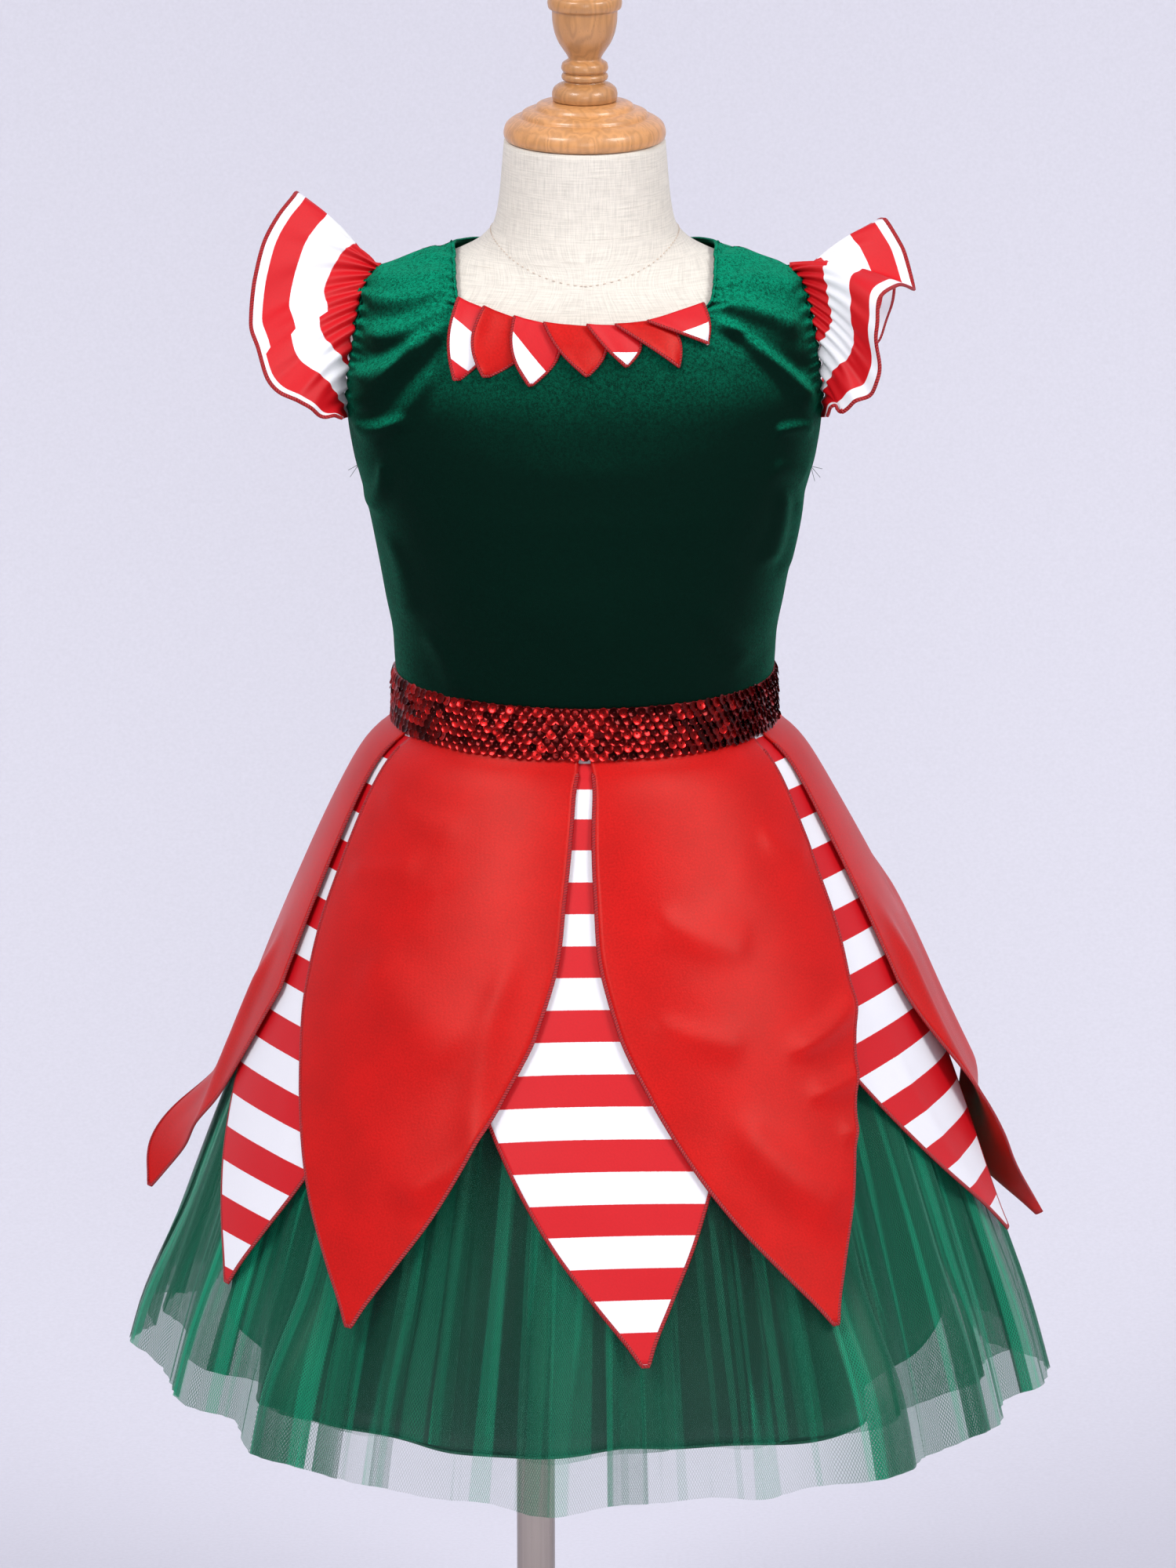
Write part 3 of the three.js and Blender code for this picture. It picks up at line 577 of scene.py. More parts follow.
def grid_mesh(name, columns, rows, place, cut, closed=False):
    """A sheet: a grid laid onto place(u, v), with cut(u, v) as its flat pattern, in millimetres."""
    grid = bmesh.new()
    grid.loops.layers.uv.new("Cut")
    bmesh.ops.create_grid(grid, x_segments=columns, y_segments=rows, size=0.5, calc_uvs=True)
    mesh = bpy.data.meshes.new(name)
    grid.to_mesh(mesh)
    grid.free()
    flat = np.empty(len(mesh.vertices) * 3)
    mesh.vertices.foreach_get("co", flat)
    u, v = flat.reshape(-1, 3)[:, :2].T + 0.5
    mesh.vertices.foreach_set("co", (place(u, v) * 0.001).ravel())
    corner = np.empty(len(mesh.loops), int)
    mesh.loops.foreach_get("vertex_index", corner)
    pattern = np.stack(cut(u, v), -1)[corner] * 0.001
    mesh.uv_layers[0].data.foreach_set("uv", pattern.ravel())
    if closed:
        merge_seam(mesh)
    mesh.polygons.foreach_set("use_smooth", np.ones(len(mesh.polygons), bool))
    mesh.update()
    return mesh


def merge_seam(mesh, distance=1e-6):
    """Joins the vertices of a mesh that lie on each other."""
    work = bmesh.new()
    work.from_mesh(mesh)
    bmesh.ops.remove_doubles(work, verts=work.verts, dist=distance)
    work.to_mesh(mesh)
    work.free()


def piece(name, mesh, slot, *finishes, replaces=()):
    """A finished piece on the object's one body."""
    made = bpy.data.objects.new(name, mesh)
    bpy.context.scene.collection.objects.link(made)
    for finish in finishes:
        made.data.materials.append(finish)
    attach(made, "root")
    if replaces:
        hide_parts(*replaces)
    return made


def thicken(made, thickness):
    """Gives a sheet its thickness, inwards."""
    wall = made.modifiers.new("Cloth thickness", "SOLIDIFY")
    wall.thickness = thickness * 0.001
    wall.offset = -1
    return made


def strand_mesh(name, path, out, half_wide, half_high, sides=7):
    """A roll of thread along a path, with the cloth's outward direction at each of its points."""
    tangent = normalised(np.gradient(path, axis=0))
    side = normalised(np.cross(tangent, out))
    out = normalised(np.cross(side, tangent))
    length = np.concatenate(([0], np.cumsum(np.linalg.norm(np.diff(path, axis=0), axis=1))))
    last = len(path) - 1
    ends = np.minimum(np.arange(last + 1), last - np.arange(last + 1))
    taper = np.where(ends < 1, 0.35, 1.0)[:, None]

    def place(u, v):
        i = np.rint(v * last).astype(int)
        turn = 2 * np.pi * u[:, None]
        across = side[i] * np.cos(turn) * half_wide + out[i] * np.sin(turn) * half_high
        return path[i] + across * taper[i]

    def cut(u, v):
        i = np.rint(v * last).astype(int)
        return u * 2 * np.pi * half_wide, length[i]

    mesh = grid_mesh(name, sides, last, place, cut, closed=True)
    work = bmesh.new()
    work.from_mesh(mesh)
    bmesh.ops.holes_fill(work, edges=[edge for edge in work.edges if edge.is_boundary], sides=0)
    bmesh.ops.recalc_face_normals(work, faces=work.faces)
    work.to_mesh(mesh)
    work.free()
    return mesh


# Finishes


class Number:
    """A number that varies over a surface. Arithmetic on it adds Math nodes."""

    def __init__(self, finish, socket):
        self.finish, self.socket = finish, socket

    def _math(self, operation, *values):
        made = self.finish.node("ShaderNodeMath", {"operation": operation}, dict(enumerate(values)))
        return Number(self.finish, made.outputs[0])

    def __add__(self, other):
        return self._math("ADD", self, other)

    __radd__ = __add__

    def __sub__(self, other):
        return self._math("SUBTRACT", self, other)

    def __rsub__(self, other):
        return self._math("SUBTRACT", other, self)

    def __mul__(self, other):
        return self._math("MULTIPLY", self, other)

    __rmul__ = __mul__

    def __truediv__(self, other):
        return self._math("DIVIDE", self, other)

    def __pow__(self, other):
        return self._math("POWER", self, other)

    def __mod__(self, other):
        return self._math("FLOORED_MODULO", self, other)

    def __abs__(self):
        return self._math("ABSOLUTE", self)

    def sine(self):
        return self._math("SINE", self)

    def larger(self, other):
        return self._math("MAXIMUM", self, other)

    def ramp(self, low, high, start=0.0, end=1.0):
        """Runs smoothly from start at low to end at high."""
        made = self.finish.node(
            "ShaderNodeMapRange",
            {"interpolation_type": "SMOOTHSTEP"},
            {"Value": self, "From Min": low, "From Max": high, "To Min": start, "To Max": end},
        )
        return Number(self.finish, made.outputs["Result"])


class Finish:
    """One material, or the room's light, built node by node."""

    def __init__(self, name, owner=None):
        self.owner = owner or bpy.data.materials.new(name)
        self.owner.use_nodes = True
        self.nodes = self.owner.node_tree.nodes
        self.links = self.owner.node_tree.links
        self.nodes.clear()

    def node(self, kind, settings=None, inputs=None):
        """A node of a kind, with its settings and then the values or links of its sockets."""
        made = self.nodes.new(kind)
        for key, value in (settings or {}).items():
            setattr(made, key, value)
        for key, value in (inputs or {}).items():
            source = value.socket if isinstance(value, Number) else value
            if isinstance(source, bpy.types.NodeSocket):
                self.links.new(source, made.inputs[key])
            else:
                made.inputs[key].default_value = source
        return made

    def place(self):
        """Where a point of the piece is, in metres."""
        return self.node("ShaderNodeTexCoord").outputs["Object"]

    def cut(self):
        """The flat pattern of the cloth, in metres, as across and down."""
        pattern = self.node("ShaderNodeUVMap", {"uv_map": "Cut"}).outputs["UV"]
        parts = self.node("ShaderNodeSeparateXYZ", None, {0: pattern})
        return pattern, Number(self, parts.outputs[0]), Number(self, parts.outputs[1])

    def part(self, vector, axis):
        """One part of a vector, as a number."""
        return Number(self, self.node("ShaderNodeSeparateXYZ", None, {0: vector}).outputs[axis])

    def stretched(self, vector, scale, turn=(0, 0, 0)):
        """A vector with its axes scaled, and turned if asked."""
        made = self.node("ShaderNodeMapping", None, {"Vector": vector, "Scale": scale, "Rotation": turn})
        return made.outputs[0]

    def noise(self, vector, scale, detail=2.0, rough=0.5):
        inputs = {"Vector": vector, "Scale": scale, "Detail": detail, "Roughness": rough}
        return Number(self, self.node("ShaderNodeTexNoise", None, inputs).outputs[0])

    def turned_away(self):
        """0 where the surface faces the eye, 1 where it is seen edge on."""
        made = self.node("ShaderNodeLayerWeight", None, {"Blend": 0.5})
        return Number(self, made.outputs["Facing"])

    def mix(self, first, second, share):
        inputs = {0: share, 6: first, 7: second}
        return self.node("ShaderNodeMix", {"data_type": "RGBA"}, inputs).outputs[2]

    def bump(self, height, distance, strength=1.0):
        inputs = {"Height": height, "Distance": distance, "Strength": strength}
        return self.node("ShaderNodeBump", None, inputs).outputs[0]

    def surface(self, **inputs):
        """The principled surface that ends the material; a name's underscores stand for spaces."""
        named = {key.replace("_", " "): value for key, value in inputs.items()}
        made = self.node("ShaderNodeBsdfPrincipled", None, named)
        self.node("ShaderNodeOutputMaterial", None, {0: made.outputs[0]})
        return self.owner


def colour(values):
    """A colour with its alpha."""
    return (*values, 1.0)


def shaded(values, share):
    """A colour made darker or lighter by a share."""
    return (*(min(value * share, 1.0) for value in values), 1.0)


def velvet_finish(looks):
    """Dark pile with painted highlights in its colour: lighter where it leans to the sky or is seen from
    the side.
    """
    f = Finish("Green stretch velvet")
    place = f.place()
    pile = f.noise(place, 1900, 2, 0.75)
    tufts = f.noise(place, 620, 2, 0.6)
    mottle = f.noise(place, 42, 3)
    upwards = f.part(f.node("ShaderNodeNewGeometry").outputs["Normal"], 2)
    nap = (pile * 0.6 + tufts * 0.4).ramp(0.36, 0.66)
    # Painted light: the colour turns lighter where the surface faces up and where it is seen edge on.
    lit = upwards.ramp(0.1, 0.9) * 0.85 + f.turned_away().ramp(0.35, 1.0) * 0.25
    painted_highlight = lit * (0.2 + nap * 1.5) * (0.6 + mottle * 0.8)
    base = f.mix(colour(looks.velvet), colour(looks.velvet_painted_highlight), painted_highlight + nap * 0.012)
    height = pile * 0.6 + tufts * 0.4 + mottle * 0.3
    return f.surface(
        Base_Color=base, Roughness=0.7, Specular_IOR_Level=0.03, Normal=f.bump(height, 0.0006, 0.5),
        Sheen_Weight=0.13, Sheen_Roughness=0.24, Sheen_Tint=colour(looks.velvet_sheen),
    )


def satin_normal(f, pattern, across, down, weave=0.35):
    """The fine twill of satin, its fine unevenness and its slow one."""
    lines = (down * 14000 + across * 5200).sine() * 0.5 + 0.5
    uneven = f.noise(pattern, 900, 3, 0.6)
    slow = f.noise(pattern, 34, 3, 0.5)
    return f.bump(lines * 0.35 + uneven * 0.65 + slow * 3, 0.00025, weave), uneven, slow


def red_satin_finish(looks, name="Red satin"):
    """Smooth dyed satin with a soft red shine."""
    f = Finish(name)
    pattern, across, down = f.cut()
    normal, uneven, slow = satin_normal(f, pattern, across, down)
    grain = uneven * 0.65 + slow * 0.35
    base = f.mix(shaded(looks.red_satin, 0.8), shaded(looks.red_satin, 1.12), grain.ramp(0.3, 0.7))
    return f.surface(
        Base_Color=base, Roughness=0.32 + uneven * 0.12, Specular_IOR_Level=0.42, Normal=normal,
        Specular_Tint=(1.0, 0.45, 0.38, 1.0), Anisotropic=0.4,
    )


def striped_satin_finish(looks):
    """Satin with even red and white stripes across its cut, their edges a little uneven."""
    f = Finish("Striped satin")
    pattern, across, down = f.cut()
    normal, uneven, slow = satin_normal(f, pattern, across, down, 0.25)
    period = looks.stripe * 2
    wander = (uneven - 0.5) * 0.0004
    within = (down + wander + looks.stripe_start) % period
    half = looks.stripe
    edge = 0.00018
    red = within.ramp(half - edge, half + edge) - within.ramp(period - edge, period)
    white = f.mix(shaded(looks.stripe_white, 0.95), colour(looks.stripe_white), uneven)
    dyed = f.mix(shaded(looks.stripe_red, 0.85), shaded(looks.stripe_red, 1.08), uneven)
    return f.surface(
        Base_Color=f.mix(white, dyed, red), Roughness=0.46 + uneven * 0.1, Specular_IOR_Level=0.35,
        Normal=normal,
    )


def thread_finish(name, tint):
    """Turns of thread side by side, with a little fluff, for overlocked edges and ribbon; painted shade
    makes the colour darker between the turns.
    """
    f = Finish(name)
    pattern, across, down = f.cut()
    wraps_and_shade = (down * 4200 + across * 1400).sine() * 0.5 + 0.5
    fluff = f.noise(pattern, 2600, 2, 0.6)
    # Painted shade: darker in the grooves between the turns of thread, lighter on their crests.
    base = f.mix(shaded(tint, 0.5), shaded(tint, 1.25), wraps_and_shade * 0.65 + fluff * 0.35)
    return f.surface(
        Base_Color=base, Roughness=0.45, Normal=f.bump(wraps_and_shade + fluff * 0.3, 0.0005, 0.8),
        Sheen_Weight=0.3, Sheen_Roughness=0.4, Sheen_Tint=shaded(tint, 1.4),
    )


def net_finish(looks):
    """Crossed yarns with holes between. Long streaks are denser, where the net lies double, and so are
    the skirt's sides and its hem."""
    f = Finish("Green tulle")
    pattern, across, down = f.cut()
    cell = np.pi / looks.net_hole
    left = abs((across * cell + down * cell * 0.58).sine())
    right = abs((across * cell - down * cell * 0.58).sine())
    thread = left.ramp(0.1, 0.36, 1, 0).larger(right.ramp(0.1, 0.36, 1, 0))
    layers = f.noise(f.stretched(pattern, (36, 1.1, 1)), 1, 2, 0.4).ramp(0.545, 0.57)
    narrow = f.noise(f.stretched(pattern, (92, 1.6, 1)), 1, 2, 0.5).ramp(0.57, 0.6)
    soft = f.noise(f.stretched(pattern, (18, 1.6, 1)), 1, 2, 0.5).ramp(0.3, 0.7)
    gathered = abs(f.part(f.place(), 0)).ramp(0.1, 0.19)
    doubled = layers * 0.5 + narrow * 0.35 + soft * 0.1
    near_hem = down.ramp(0.34, 0.4)
    cover = thread * (0.34 + doubled * 0.36 + gathered * 0.5) + doubled * 0.24 + gathered * 0.36
    cover = cover + near_hem * 0.14 + 0.07
    base = f.mix(shaded(looks.net, 0.42), shaded(looks.net, 1.35), doubled)
    return f.surface(
        Base_Color=base, Alpha=cover, Roughness=0.5, Specular_IOR_Level=0.3,
        Sheen_Weight=0.2, Sheen_Roughness=0.4, Sheen_Tint=(0.3, 1.0, 0.7, 1.0),
    )


def lining_finish(looks):
    """Dull dark satin."""
    f = Finish("Dark green lining")
    pattern, across, down = f.cut()
    normal, uneven, slow = satin_normal(f, pattern, across, down, 0.3)
    base = f.mix(shaded(looks.lining, 0.45), shaded(looks.lining, 0.9), uneven * 0.5 + slow * 0.5)
    return f.surface(
        Base_Color=base, Roughness=0.5, Specular_IOR_Level=0.4, Normal=normal,
        Sheen_Weight=0.08, Sheen_Roughness=0.5, Sheen_Tint=(0.4, 0.8, 0.7, 1.0),
    )


def linen_finish(looks):
    """Plain weave with thick threads and brown flecks here and there."""
    f = Finish("Natural linen")
    pattern, across, down = f.cut()
    warp = f.noise(f.stretched(pattern, (1600, 90, 1)), 1, 3, 0.65)
    weft = f.noise(f.stretched(pattern, (70, 1500, 1)), 1, 3, 0.65)
    slub = f.noise(f.stretched(pattern, (26, 520, 1)), 1, 2, 0.5)
    slub_up = f.noise(f.stretched(pattern, (620, 30, 1)), 1, 2, 0.5)
    cloud = f.noise(pattern, 22, 3)
    weave = (warp + weft) * 0.5
    light = f.mix(shaded(looks.linen, 0.8), shaded(looks.linen, 1.08), weave.ramp(0.32, 0.66))
    flecks = slub.ramp(0.66, 0.78) * 0.55 + slub_up.ramp(0.68, 0.8) * 0.4
    flecked = f.mix(light, (0.42, 0.33, 0.22, 1), flecks * cloud.ramp(0.3, 0.8))
    height = weave + slub.ramp(0.6, 0.8) * 0.5 + slub_up.ramp(0.6, 0.8) * 0.4
    return f.surface(
        Base_Color=flecked, Roughness=0.85, Specular_IOR_Level=0.25, Normal=f.bump(height, 0.0005, 0.7),
        Sheen_Weight=0.15, Sheen_Roughness=0.5,
    )


def wood_finish(name, tint, lean):
    """Lacquered wood with its grain leaning by turns about the three axes."""
    f = Finish(name)
    place = f.place()
    bent = f.stretched(place, (70, 70, 16), lean)
    rings = f.noise(bent, 1.2, 2, 0.5)
    line = (rings * 46).sine() * 0.5 + 0.5
    pores = f.noise(f.stretched(place, (1500, 1500, 160), lean), 1, 2, 0.6)
    cloud = f.noise(place, 45, 2)
    light = f.mix(shaded(tint, 0.72), shaded(tint, 1.15), line * 0.45 + cloud * 0.55)
    base = f.mix(light, shaded(tint, 0.42), pores.ramp(0.62, 0.76) * 0.6)
    return f.surface(
        Base_Color=base, Roughness=0.36 + pores * 0.12, Specular_IOR_Level=0.5, Coat_Weight=0.45,
        Coat_Roughness=0.16, Normal=f.bump(pores * -1.0 + line * 0.15, 0.0002, 0.5),
    )


def steel_finish(looks):
    """Steel drawn along the pole, with a slight haze."""
    f = Finish("Satin steel")
    place = f.place()
    drawn = f.noise(f.stretched(place, (900, 900, 12)), 1, 3, 0.6)
    haze = f.noise(place, 40, 3)
    base = f.mix(shaded(looks.steel, 0.85), shaded(looks.steel, 1.15), drawn)
    return f.surface(
        Base_Color=base, Metallic=1.0, Roughness=0.2 + haze * 0.12 + drawn * 0.06,
        Normal=f.bump(drawn, 0.00005, 0.4),
    )


def sequin_finish(looks):
    """Red lacquered foil, darker or lighter from one sequin to the next."""
    f = Finish("Red sequins")
    shade = Number(f, f.node("ShaderNodeAttribute", {"attribute_name": "Shade"}).outputs["Fac"])
    base = f.mix(shaded(looks.sequin, 0.08), shaded(looks.sequin, 1.1), shade * shade)
    return f.surface(
        Base_Color=base, Metallic=1.0, Roughness=0.16 + shade * 0.12, Coat_Weight=0.12,
        Coat_Roughness=0.08,
    )


def slight_grain(f, tint):
    """The colour and bump of a nearly even surface."""
    grain = f.noise(f.place(), 400, 2)
    return f.mix(shaded(tint, 0.93), shaded(tint, 1.05), grain), f.bump(grain, 0.0002, 0.1)


def sewing_thread_finish(name, tint, rough):
    """Thin matt thread."""
    f = Finish(name)
    base, normal = slight_grain(f, tint)
    return f.surface(Base_Color=base, Roughness=rough, Normal=normal)


def backdrop_finish(tint):
    """Pale paper that a camera behind it looks through, so that the back of the dress shows."""
    f = Finish("Pale paper")
    base, normal = slight_grain(f, tint)
    inputs = {"Base Color": base, "Roughness": 0.9, "Normal": normal}
    paper = f.node("ShaderNodeBsdfPrincipled", None, inputs)
    behind = f.node("ShaderNodeNewGeometry").outputs["Backfacing"]
    clear = f.node("ShaderNodeBsdfTransparent")
    mixed = f.node("ShaderNodeMixShader", None, {0: behind, 1: paper.outputs[0], 2: clear.outputs[0]})
    f.node("ShaderNodeOutputMaterial", None, {0: mixed.outputs[0]})
    return f.owner


# Properties


class DressLooks(bpy.types.PropertyGroup):
    """Colours and fine sizes of the costume's materials."""

    velvet: bpy.props.FloatVectorProperty(
        name="Velvet", description="Velvet seen into the pile", subtype="COLOR",
        default=(0.0006, 0.009, 0.0055), min=0, max=1)
    # The colour that the velvet's painted highlights turn to.
    velvet_painted_highlight: bpy.props.FloatVectorProperty(
        name="Velvet in the light", description="Velvet that catches the light", subtype="COLOR",
        default=(0.002, 0.25, 0.135), min=0, max=1)
    velvet_sheen: bpy.props.FloatVectorProperty(
        name="Velvet sheen", description="Tint of the velvet's sheen", subtype="COLOR",
        default=(0.01, 0.45, 0.25), min=0, max=1)
    red_satin: bpy.props.FloatVectorProperty(
        name="Red satin", description="Dyed satin of the red petals", subtype="COLOR",
        default=(0.53, 0.004, 0.004), min=0, max=1)
    stripe_red: bpy.props.FloatVectorProperty(
        name="Red stripe", description="Red of the striped satin", subtype="COLOR",
        default=(0.60, 0.002, 0.008), min=0, max=1)
    stripe_white: bpy.props.FloatVectorProperty(
        name="White stripe", description="White of the striped satin", subtype="COLOR",
        default=(0.84, 0.83, 0.88), min=0, max=1)
    stripe: bpy.props.FloatProperty(
        name="Stripe width", description="Width of one stripe", unit="LENGTH", default=0.0168, min=0.002)
    stripe_start: bpy.props.FloatProperty(
        name="Stripe start", description="How far the stripes are moved up", unit="LENGTH", default=0.0)
    overlock_thread: bpy.props.FloatVectorProperty(
        name="Overlock thread", description="Thread of the red overlocked edges", subtype="COLOR",
        default=(0.40, 0.003, 0.006), min=0, max=1)
    overlock: bpy.props.FloatProperty(
        name="Overlock width", description="Width of an overlocked edge", unit="LENGTH",
        default=0.0026, min=0.0005)
    sequin: bpy.props.FloatVectorProperty(
        name="Sequin", description="Lacquer of the sequins", subtype="COLOR",
        default=(0.52, 0.012, 0.012), min=0, max=1)
    sequin_width: bpy.props.FloatProperty(
        name="Sequin width", description="Diameter of one sequin", unit="LENGTH",
        default=0.0056, min=0.001)
    net: bpy.props.FloatVectorProperty(
        name="Tulle", description="Yarn of the tulle", subtype="COLOR",
        default=(0.0, 0.22, 0.115), min=0, max=1)
    net_hole: bpy.props.FloatProperty(
        name="Tulle mesh", description="Width of one hole of the tulle", unit="LENGTH",
        default=0.0013, min=0.0003)
    lining: bpy.props.FloatVectorProperty(
        name="Lining", description="Dark green satin of the lining", subtype="COLOR",
        default=(0.0015, 0.020, 0.017), min=0, max=1)
    linen: bpy.props.FloatVectorProperty(
        name="Linen", description="Cover of the form", subtype="COLOR",
        default=(0.72, 0.67, 0.60), min=0, max=1)
    wood: bpy.props.FloatVectorProperty(
        name="Wood", description="Turned wood of the cap and finial", subtype="COLOR",
        default=(0.50, 0.235, 0.085), min=0, max=1)
    steel: bpy.props.FloatVectorProperty(
        name="Steel", description="Tube and base of the stand", subtype="COLOR",
        default=(0.40, 0.345, 0.31), min=0, max=1)


class StudioSettings(bpy.types.PropertyGroup):
    """The camera and lights."""

    aim_height: bpy.props.FloatProperty(
        name="Aim height", description="Height that the camera looks at", unit="LENGTH", default=0.64)
    aim_right: bpy.props.FloatProperty(
        name="Aim to the right", description="How far right of the middle it looks", unit="LENGTH",
        default=0.0017)
    distance: bpy.props.FloatProperty(
        name="Distance", description="From the camera to what it looks at", unit="LENGTH", default=4.0)
    elevation: bpy.props.FloatProperty(
        name="Elevation", description="Angle of the camera above the horizon", subtype="ANGLE",
        default=float(np.radians(16)))
    lens: bpy.props.FloatProperty(
        name="Lens", description="Focal length on a 36 mm sensor", default=171.43, min=10)
    key_power: bpy.props.FloatProperty(
        name="Softbox power", description="Power of each front softbox", unit="POWER", default=58)
    sky: bpy.props.FloatProperty(
        name="Room light", description="Strength of the even light of the room", default=0.40)
    backdrop: bpy.props.FloatVectorProperty(
        name="Backdrop", description="Pale floor and backdrop", subtype="COLOR",
        default=(0.72, 0.71, 0.79), min=0, max=1)


# The form and stand


def turned_piece(name, profile, steps, spins, centre_x, slot, finish, replaces):
    """A turned piece: its profile spun round an upright axis and closed at both ends."""
    at = np.linspace(0, profile["length"][-1], steps)
    radius, height = read(profile, "r", at), read(profile, "z", at)
    points = [(0, height[0]), *zip(radius, height), (0, height[-1])]
    work = bmesh.new()
    verts = [work.verts.new((r * 0.001, 0, z * 0.001)) for r, z in points]
    edges = [work.edges.new(pair) for pair in zip(verts, verts[1:])]
    bmesh.ops.spin(work, geom=verts + edges, cent=(0, 0, 0), axis=(0, 0, 1), dvec=(0, 0, 0),
                   angle=2 * np.pi, steps=spins, use_merge=True, use_duplicate=False)
    bmesh.ops.remove_doubles(work, verts=work.verts, dist=1e-6)
    bmesh.ops.recalc_face_normals(work, faces=work.faces)
    bmesh.ops.translate(work, verts=work.verts, vec=(centre_x * 0.001, 0, 0))
    mesh = bpy.data.meshes.new(name)
    work.to_mesh(mesh)
    work.free()
    mesh.polygons.foreach_set("use_smooth", np.ones(len(mesh.polygons), bool))
    return piece(name, mesh, slot, finish, replaces=[replaces])


def neck_seam_z(angle):
    """The height of the seam round the bottom of the form's neck."""
    return 924.5 + 20 * (1 - np.exp(-((np.abs(angle) / 50) ** 2)))


class ELFDRESS_OT_form(bpy.types.Operator):
    """Covers the form's torso and neck with linen and stitches its neck seam"""

    bl_idname = "elf_dress.form"
    bl_label = "Linen form"

    def execute(self, context):
        looks = context.scene.elf_dress_looks
        rows, columns = 170, 128

        def place(u, v):
            angle, z = 360 * u - 180, lerp(FORM_BOTTOM_Z, NECK_TOP_Z, v)
            around = np.exp(-(((z - neck_seam_z(angle)) / 0.9) ** 2)) * (z > 900)
            off_middle = np.radians(angle) * read(FORM, "side", z)
            down = np.exp(-((off_middle / 0.8) ** 2)) * (z < 925) * (z > 880)
            return on_form(angle, z, -0.35 * around - 0.2 * down)

        def cut(u, v):
            z = lerp(FORM_BOTTOM_Z, NECK_TOP_Z, v)
            return (2 * u - 1) * np.pi * read(FORM, "side", z) * 0.9, z

        mesh = grid_mesh("linen_form", columns, rows, place, cut, closed=True)
        work = bmesh.new()
        work.from_mesh(mesh)
        rims = [edge for edge in work.edges if edge.is_boundary]
        bmesh.ops.holes_fill(work, edges=rims, sides=0)
        work.to_mesh(mesh)
        work.free()
        piece("linen_form", mesh, "linen", linen_finish(looks), replaces=["form_torso"])
        self.stitch()
        return {"FINISHED"}

    def stitch(self):
        """Lays a short stitch every 3 mm along the neck seam."""
        work = bmesh.new()
        for angle in np.arange(-176, 180, 3.4):
            ends = [on_form(np.array([angle + turn]), neck_seam_z(np.array([angle + turn])), 0.1)[0]
                    for turn in (-0.95, 0.95)]
            middle, half = (ends[0] + ends[1]) / 2, (ends[1] - ends[0]) / 2
            made = bmesh.ops.create_icosphere(work, subdivisions=1, radius=0.00042)["verts"]
            turn = Vector((1, 0, 0)).rotation_difference(Vector(half)).to_matrix().to_4x4()
            bmesh.ops.scale(work, verts=made, vec=(2.1, 1, 1))
            bmesh.ops.rotate(work, verts=made, cent=(0, 0, 0), matrix=turn)
            bmesh.ops.translate(work, verts=made, vec=Vector(middle * 0.001))
        mesh = bpy.data.meshes.new("neck_seam_stitches")
        work.to_mesh(mesh)
        work.free()
        thread = sewing_thread_finish("Linen thread", (0.60, 0.50, 0.42), 0.8)
        piece("neck_seam_stitches", mesh, "linen", thread)


class ELFDRESS_OT_wood(bpy.types.Operator):
    """Turns the neck cap and the finial"""

    bl_idname = "elf_dress.wood"
    bl_label = "Neck cap and finial"

    def execute(self, context):
        looks = context.scene.elf_dress_looks
        lighter = tuple(value * 1.25 for value in looks.wood)
        cap = wood_finish("Honey wood of the cap", lighter, (0.3, 1.35, 0.2))
        finial = wood_finish("Honey wood of the finial", looks.wood, (0.05, 0.06, 0))
        turned_piece("wooden_neck_cap", CAP, 72, 96, 0, "wood", cap, "form_neck_cap")
        turned_piece("wooden_finial", FINIAL, 150, 72, 0, "wood", finial, "form_finial")
        return {"FINISHED"}


class ELFDRESS_OT_stand(bpy.types.Operator):
    """Makes the stand's pole and its round base"""

    bl_idname = "elf_dress.stand"
    bl_label = "Pole and base"

    def execute(self, context):
        steel = steel_finish(context.scene.elf_dress_looks)
        turned_piece("steel_pole", POLE, 40, 48, POLE_X, "stand_metal", steel, "stand_pole")
        turned_piece("steel_base", BASE, 100, 128, POLE_X, "stand_metal", steel, "stand_base")
        return {"FINISHED"}


# Bodice


def bodice_edge(z):
    """The angle of a bodice panel's outer edge: the armhole's, or the side and shoulder seams'."""
    inside = read(ARMHOLE, "angle", z)
    return np.where((z <= ARMPIT_Z) | (z >= SHOULDER_TIP_Z), 90.0, inside)


def bodice_place(behind, lift):
    """The map from a bodice panel's across and up, 0 to 1, to its place; lift(x, z) is its creases."""
    low, top = BODICE_LOW_Z, NECK_POINT_Z

    def place(u, v):
        across = 2 * u - 1
        half = 1 - (1 - np.abs(across)) ** 1.5
        up = 1 - (1 - v) ** 1.45
        height = lerp(low, top, up)
        top_z = read(NECKLINE, "back" if behind else "front", half)
        top_angle = np.abs(angle_out(read(NECKLINE, "out", half), top_z))
        edge = bodice_edge(height)
        rising = smooth(up, 0.5, 1)
        angle = lerp(half * edge, top_angle + half * (edge - 90), rising) - 0.01 * half
        z = lerp(low, top_z, up)
        turned = np.sign(across) * angle + (180 if behind else 0)
        flat = on_form(turned, z, off_form(z) + VELVET)
        return on_form(turned, z, off_form(z) + VELVET + lift(flat[:, 0], z))

    return place


